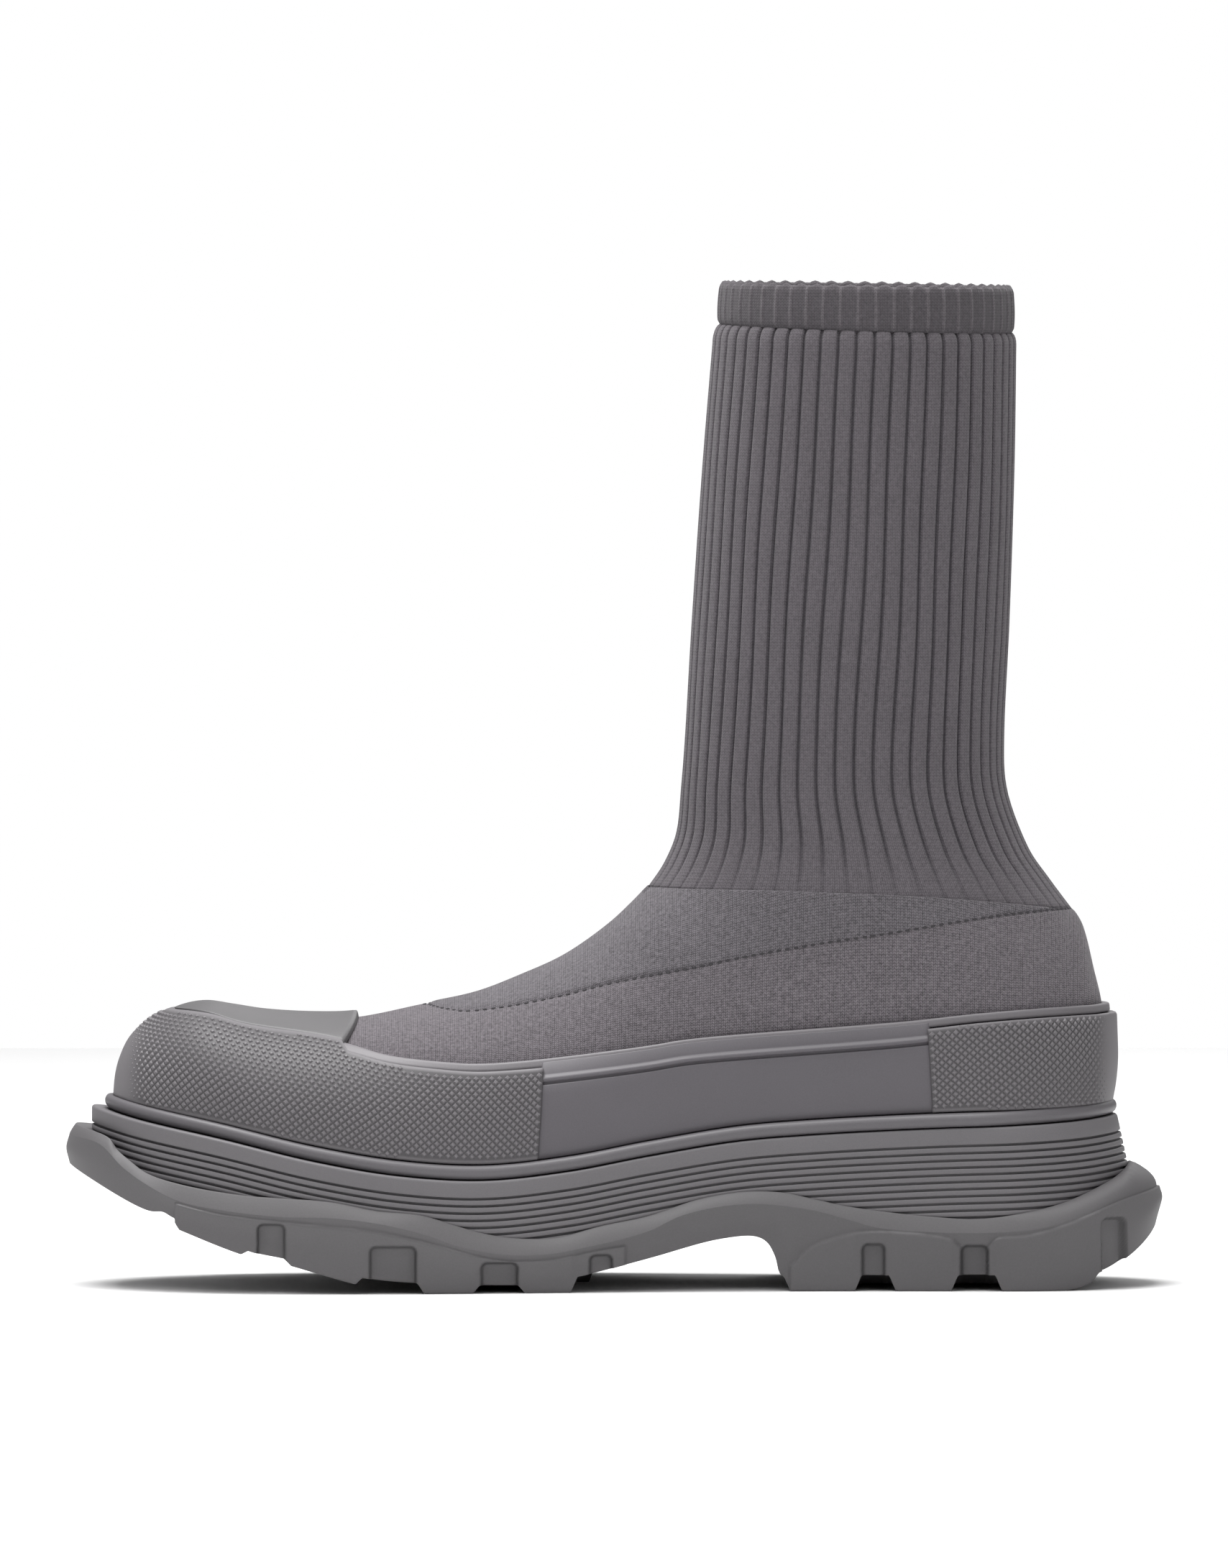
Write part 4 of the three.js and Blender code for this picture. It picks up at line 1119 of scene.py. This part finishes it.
def studPoints(low, high, spanOf, fadeOf, s):
    # rows of even studs, each counted from the two upright ends of the rubber
    found = []
    for j in range(-15, 16):
        line = (lambda x, k=j: between(foxingLow, rimTop, 0.45)(x) + k * s["rowPitch"])
        fine = np.linspace(*spanOf(line), 1200)
        g, _ = skin(line, fine)
        run = runOf(g)
        places = np.arange(s["edgeClear"] + s["halfPitch"] * (j % 2), run[-1] / 2, 2 * s["halfPitch"])
        turns = np.interp(np.concatenate([places, run[-1] - places]), run, fine)
        p, n = skin(line, turns)
        q, _ = skin(line, turns + 0.004)
        inside = (p[:, 2] > low(p[:, 0]) + s["edgeClear"]) & (p[:, 2] < high(p[:, 0]) - s["edgeClear"])
        found.append((p[inside], n[inside], (q - p)[inside]))
    p, n, q = (np.concatenate(part) for part in zip(*found))
    return p, n, unit(q), fadeOf(p)


def makeStuds(name, low, high, spanOf, fadeOf, s):
    p, n, q, grow = studPoints(low, high, spanOf, fadeOf, s)
    keep = grow > 0.15
    p, n, q, grow = p[keep], n[keep], q[keep], grow[keep]
    seat = p + n * (boot["gap"] + rise(foxing["thick"], n) - 0.05 * mm)[:, None]
    piece = addPoints(name, seat, n, q, grow)
    return runTree(piece, studTree, sides=4, foot_radius=s["footRadius"], top_radius=s["topRadius"],
                   height=s["height"], material=finish["texture"])


settle(makeStuds("bumperStuds", foxingLow, bumperTop, toeSpan, toeFade, studs), "textured_rubber")
settle(makeStuds("counterStuds", foxingLow, rimLow, heelSpan, heelFade, studs), "textured_rubber")
print("studs made")

# dotted seam round the foot
seam = {"pitch": 2.6 * mm, "dot": 0.5 * mm, "height": 0.22 * mm, "stretch": 1.5}


def makeSeamDots(s):
    x = np.linspace(sideX(0.3), sideX(0.963), 1500)
    parts = []
    for side in (-1.0, 1.0):
        z = np.minimum(seamLine(x), upperTop(x) - 0.05 * mm)
        p = footPoint(x, z, side)
        up = footPoint(x, z - 0.3 * mm, side) - p
        run = runOf(p)
        places = np.arange(s["pitch"] / 2, run[-1], s["pitch"])
        pick = np.searchsorted(run, places).clip(1, len(x) - 2)
        along = unit(p[pick + 1] - p[pick - 1])
        facing = unit(np.cross(along, up[pick])) * -side
        facing *= np.sign((facing * (p[pick] - [0, 0, 0.06]) * [0, 1, 1]).sum(1))[:, None]
        parts.append((p[pick] - facing * 0.18 * mm, facing, along))
    p, n, q = (np.concatenate(part) for part in zip(*parts))
    piece = addPoints("seamDots", p, n, q, np.ones(len(p)))
    return runTree(piece, studTree, sides=8, foot_radius=s["dot"], top_radius=s["dot"] * 0.6,
                   height=s["height"], stretch=s["stretch"], material=finish["seamDot"])


settle(makeSeamDots(seam), "knit")
print("seam made")


# bead between foxing and midsole
def makeBead(f):
    columns = 420
    turns = np.linspace(0, 2 * math.pi, columns, endpoint=False)
    base, normal = skin(shifted(lowEdge, 0.4 * mm), turns)
    flat = unit(normal * [1, 1, 0])
    reach = boot["gap"] + f["thick"] + f["beadReach"]
    half = f["beadHeight"] / 2
    section = [(0.6 * mm, 0.0), (reach - 1.9 * mm, 0.0)]
    for bend in np.linspace(-80, 80, 13):
        turn = math.radians(bend)
        section.append((reach - 1.9 * mm + 1.9 * mm * math.cos(turn), half + half * math.sin(turn)))
    section += [(reach - 2.1 * mm, 2 * half), (0.6 * mm, 2 * half)]
    rings = []
    for out, up in section:
        p = base + flat * out
        p[:, 2] = lowEdge(p[:, 0]) + up
        rings.append(p)
    return addLoop("weltBead", rings, material=finish["bead"])


settle(makeBead(foxing), "foxing_rubber", "welt_bead")

sole = {
    "midsoleColumns": 1080,
    "outsoleColumns": 1560,
    "midsoleWidth": 113 * mm,
    "midsoleToe": 10.3 * mm,
    "midsoleHeel": 3.6 * mm,
    "midsoleFlare": 3.4 * mm,
    "midsoleBand": 5.4 * mm,
    "ribPitch": 2.15 * mm,
    "ribDepth": 1.0 * mm,
    "ribCount": 12,
    "width": 121 * mm,
    "topWidth": 115 * mm,
    "baseWidth": 117 * mm,
    "lugProud": 1.6 * mm,
    "padProud": 0.9 * mm,
    "crestToe": 1.0 * mm,     # how far the crest lies inside the sole's ends
    "crestHeel": 1.4 * mm,
    "bevelRound": 0.22,        # 0 a flat bevel, 1 a quarter round
    "split": 9 * mm,
    "notchShadeBar": 1.5 * mm,     # how far over the floor the low bars between the lugs end; the bars hide the lit floor so the notches read dark as shade
    "lateralShift": 5.5 * mm,
    "windowDepth": 2.1 * mm,
    "windowRound": 1.7 * mm,
    "lean": 2 * mm,
}


def evenTurns(columns):
    # turns that lie evenly round the plan
    fine = np.linspace(0, math.pi, 3000)
    s = (1 - np.cos(fine)) / 2
    half = planAt(s, sole["width"])[1]
    run = runOf(np.stack([s * outsoleLength, half], -1))
    part = np.interp(np.linspace(0, run[-1], columns // 2 + 1), run, fine)
    return np.concatenate([part, 2 * math.pi - part[-2:0:-1]])


def sideOf(turns):
    return np.where(np.sin(turns) >= -1e-9, -1.0, 1.0)


def soleRing(line, front, back, width, turns):
    s = (1 - np.cos(turns)) / 2
    x = front + s * (back - front)
    centre, half = planAt(s, 1.0)
    return np.stack([x, centre + sideOf(turns) * half * width, line(x)], -1)


soleFront, soleBack = -outsoleLength / 2, outsoleLength / 2
topFront, topBack = soleFront + boot["toeReach"] / 6, soleBack - 0.55 * boot["heelReach"]


def makeMidsole(m):
    turns = evenTurns(m["midsoleColumns"])
    flareRun = m["midsoleBand"] + m["ribCount"] * m["ribPitch"]
    # one groove between two ribs: share of the pitch, share of the depth
    ribSection = ((-0.3, 0), (-0.2, -0.1), (-0.15, -0.9), (0, -1), (0.12, -0.85), (0.17, -0.15), (0.26, 0))
    section = [(0.0, -1.2 * mm, 0), (0.12 * mm, -0.45 * mm, 0), (0.5 * mm, -0.1 * mm, 0), (1.0 * mm, 0.0, 0),
               (3.0 * mm, 0.0, 0)]
    for k in range(m["ribCount"]):
        middle = m["midsoleBand"] + k * m["ribPitch"]
        for t, out in ribSection:
            # the groove's depth also sets painted shade in the groove
            section.append((middle + t * m["ribPitch"], out * m["ribDepth"], -out))
    rings, shadeMasks = [], []
    for depth, out, grooveShade in section[::-1]:
        flare = m["midsoleFlare"] * min(1, 2 * depth / flareRun)
        ring = soleRing(shifted(midsoleTop, -depth), lastToe - m["midsoleToe"] - out,
                        lastHeel + m["midsoleHeel"] + out + flare, m["midsoleWidth"] + 2 * out, turns)
        ring[:, 2] = np.maximum(ring[:, 2], outsoleTop(ring[:, 0]) - 0.8 * mm)
        rings.append(ring)
        shadeMasks.append(np.full(len(ring), grooveShade))
    return addStack("midsoleBody", rings, attributes={"crease": shadeMasks}, material=finish["midsole"])


settle(makeMidsole(sole), "midsole_rubber", "midsole")
print("bead and midsole made")

# lugs and the windows between them: from, to, height, shift on the outer side
lugs = [(0.052, 0.127, 0.42, 1), (0.164, 0.243, 0.38, 1), (0.299, 0.362, 0.25, 1), (0.401, 0.461, 0.17, 1),
        (0.671, 0.75, 0.33, 0), (0.778, 0.848, 0.27, 0), (0.886, 0.99, 0.3, 0)]
windows = [(0.137, 0.164, 0.4, 1), (0.251, 0.297, 0.27, 1), (0.364, 0.4, 0.175, 1), (0.474, 0.496, 0.215, 1),
           (0.751, 0.773, 0.27, 0), (0.852, 0.878, 0.26, 0), (0.993, 1.016, 0.41, 0)]
padSpans = [(0.0535, 0.51, 1), (0.677, 0.8506, 0), (0.878, 1.08, 0)]


def spans(rows, side, m):
    for row in rows:
        shift = np.where(side > 0, row[-1] * m["lateralShift"], 0.0)
        yield row, sideX(row[0]) + shift, sideX(row[1]) + shift


def lugMask(x, side, m):
    found = np.zeros_like(x)
    for row, a, b in spans(lugs, side, m):
        found = np.maximum(found, np.clip(np.minimum(x - a, b - x) / m["lean"], 0, 1))
    return found


def windowMask(x, z, side, m):
    # how deep a point lies in a window, and how near to its rim; the nearness to the rim becomes painted shade
    # along the window's edge
    found, rim = np.zeros_like(x), np.zeros_like(x)
    r = m["windowRound"]
    for row, a, b in spans(windows, side, m):
        dx = np.maximum(np.maximum(a + r - x, x - (b - r)), 0)
        dz = np.maximum(z - (row[2] * boot["soleHeight"] - r), 0)
        inside = r - np.hypot(dx, dz)
        found = np.maximum(found, np.clip(inside / (0.6 * mm) + 0.5, 0, 1))
        rim = np.maximum(rim, np.exp(-(inside / (0.5 * mm)) ** 2))
    return found, rim


def padMask(x, z, side, m):
    found = np.zeros_like(x)
    for row, a, b in spans(padSpans, side, m):
        found = np.maximum(found, ease(np.minimum(x - a, b - x) / (0.9 * mm) + 0.5))
    return found * ease((padTop(x) - z) / (0.7 * mm) + 0.5)


def treadAt(x, lug):
    return underside(x) + (np.maximum(0, treadLine(x)) - underside(x)) * lug


def makeOutsole(m):
    turns = evenTurns(m["outsoleColumns"])
    side = sideOf(turns)
    base = m["baseWidth"]
    rings, shadeMasks = [], []
    # seat under the midsole, then the rounded bevel down to the crest
    rings.append(soleRing(shifted(outsoleTop, -0.6 * mm), topFront + 3 * mm, topBack - 3 * mm,
                          m["topWidth"] - 6 * mm, turns))
    rings.append(soleRing(shifted(outsoleTop, -0.1 * mm), topFront + 0.6 * mm, topBack - 0.6 * mm,
                          m["topWidth"] - 1.2 * mm, turns))
    for k in (0, 0.1, 0.2, 0.35, 0.5, 0.65, 0.8, 0.92, 0.98, 1):
        bend = k * math.pi / 2
        out = m["bevelRound"] * math.sin(bend) + (1 - m["bevelRound"]) * k
        down = m["bevelRound"] * (1 - math.cos(bend)) + (1 - m["bevelRound"]) * k
        rings.append(soleRing(between(outsoleTop, crest, down),
                              topFront + out * (soleFront + m["crestToe"] - topFront),
                              topBack + math.sin(bend) ** 0.8 * (soleBack - m["crestHeel"] - topBack),
                              m["topWidth"] + out * (m["width"] - m["topWidth"]), turns))
    shadeMasks += [np.zeros(len(turns))] * len(rings)
    stops = np.array([0, 0.5, 1.0])
    for u in np.concatenate([[0.015, 0.035], np.linspace(0.07, 0.965, 28), [0.985, 1.0]]):
        front = soleFront + through(stops, np.array([m["crestToe"], 0.0, m["crestToe"]]), u)
        back = soleBack - through(stops, np.array([m["crestHeel"], 0.9 * mm, 3.2 * mm]), u)
        width = through(stops, np.array([m["width"], base - m["lugProud"], base - 2 * m["lugProud"]]), u)
        ring = soleRing(crest, front, back, width, turns)
        x = ring[:, 0]
        z = crest(x) + (treadAt(x, lugMask(x, side, m)) - crest(x)) * u
        window, rim = windowMask(x, z, side, m)
        out = padMask(x, z, side, m) * m["padProud"] * (1 + 0.6 * u) - window * m["windowDepth"]
        out -= 0.35 * mm if u == 1.0 else 0.0
        away = unit(np.stack([x - np.clip(x, -0.11, 0.12), ring[:, 1] * 0.8 + side * 1e-6], -1))
        ring[:, :2] += away * out[:, None]
        ring[:, 2] = z
        rings.append(ring)
        # painted shade along the window rims
        shadeMasks.append(rim)
    # underneath, from the wall to the middle
    edge = rings[-1]
    centre = planAt((1 - np.cos(turns)) / 2, 1.0)[0]
    for q in (0.985, 0.96, 0.9, 0.8, 0.65, 0.5, 0.35, 0.22, 0.14, 0.1, 0.085, 0.075, 0.05, 0.0):
        ring = edge.copy()
        ring[:, 1] = centre + (edge[:, 1] - centre) * q
        x = ring[:, 0]
        offSplit = np.clip((np.abs(ring[:, 1] - centre) - m["split"] / 2) / (1 * mm) + 0.5, 0, 1)
        ring[:, 2] = treadAt(x, lugMask(x, side, m) * offSplit)
        if 0.3 < q < 0.7:        # low bars that join the lugs, away from the edge and the split, put there to hide the lit floor so the notches read as shade
            flatPart = (x > sideX(0.3)) & (x < sideX(0.46)) | (x > sideX(0.7)) & (x < sideX(0.95))
            ring[:, 2] = np.where(flatPart, np.minimum(ring[:, 2], m["notchShadeBar"]), ring[:, 2])
        rings.append(ring)
        shadeMasks.append(np.zeros(len(turns)))
    return addStack("outsoleBody", rings[::-1], attributes={"crease": shadeMasks[::-1]},
                    material=finish["outsole"])


settle(makeOutsole(sole), "outsole_rubber", "outsole")
print("outsole made")


def makeInsole():
    turns = np.linspace(0, 2 * math.pi, 160, endpoint=False)
    rings = []
    p, n = skin(shifted(lowEdge, 0.5 * mm), turns)
    for inset, up in ((3.6, 0.3), (3.4, 2.6), (3.9, 3.5), (5.5, 3.9), (9.0, 4.0)):
        q = p - unit(n * [1, 1, 0]) * inset * mm
        q[:, 2] = lowEdge(q[:, 0]) + up * mm
        rings.append(q)
    rings = np.array(rings)
    return addStack("insoleSheet", rings, uv=rings[..., :2].reshape(-1, 2), material=finish["insole"])


settle(makeInsole(), "insole_cloth", "insole")
print("insole made")
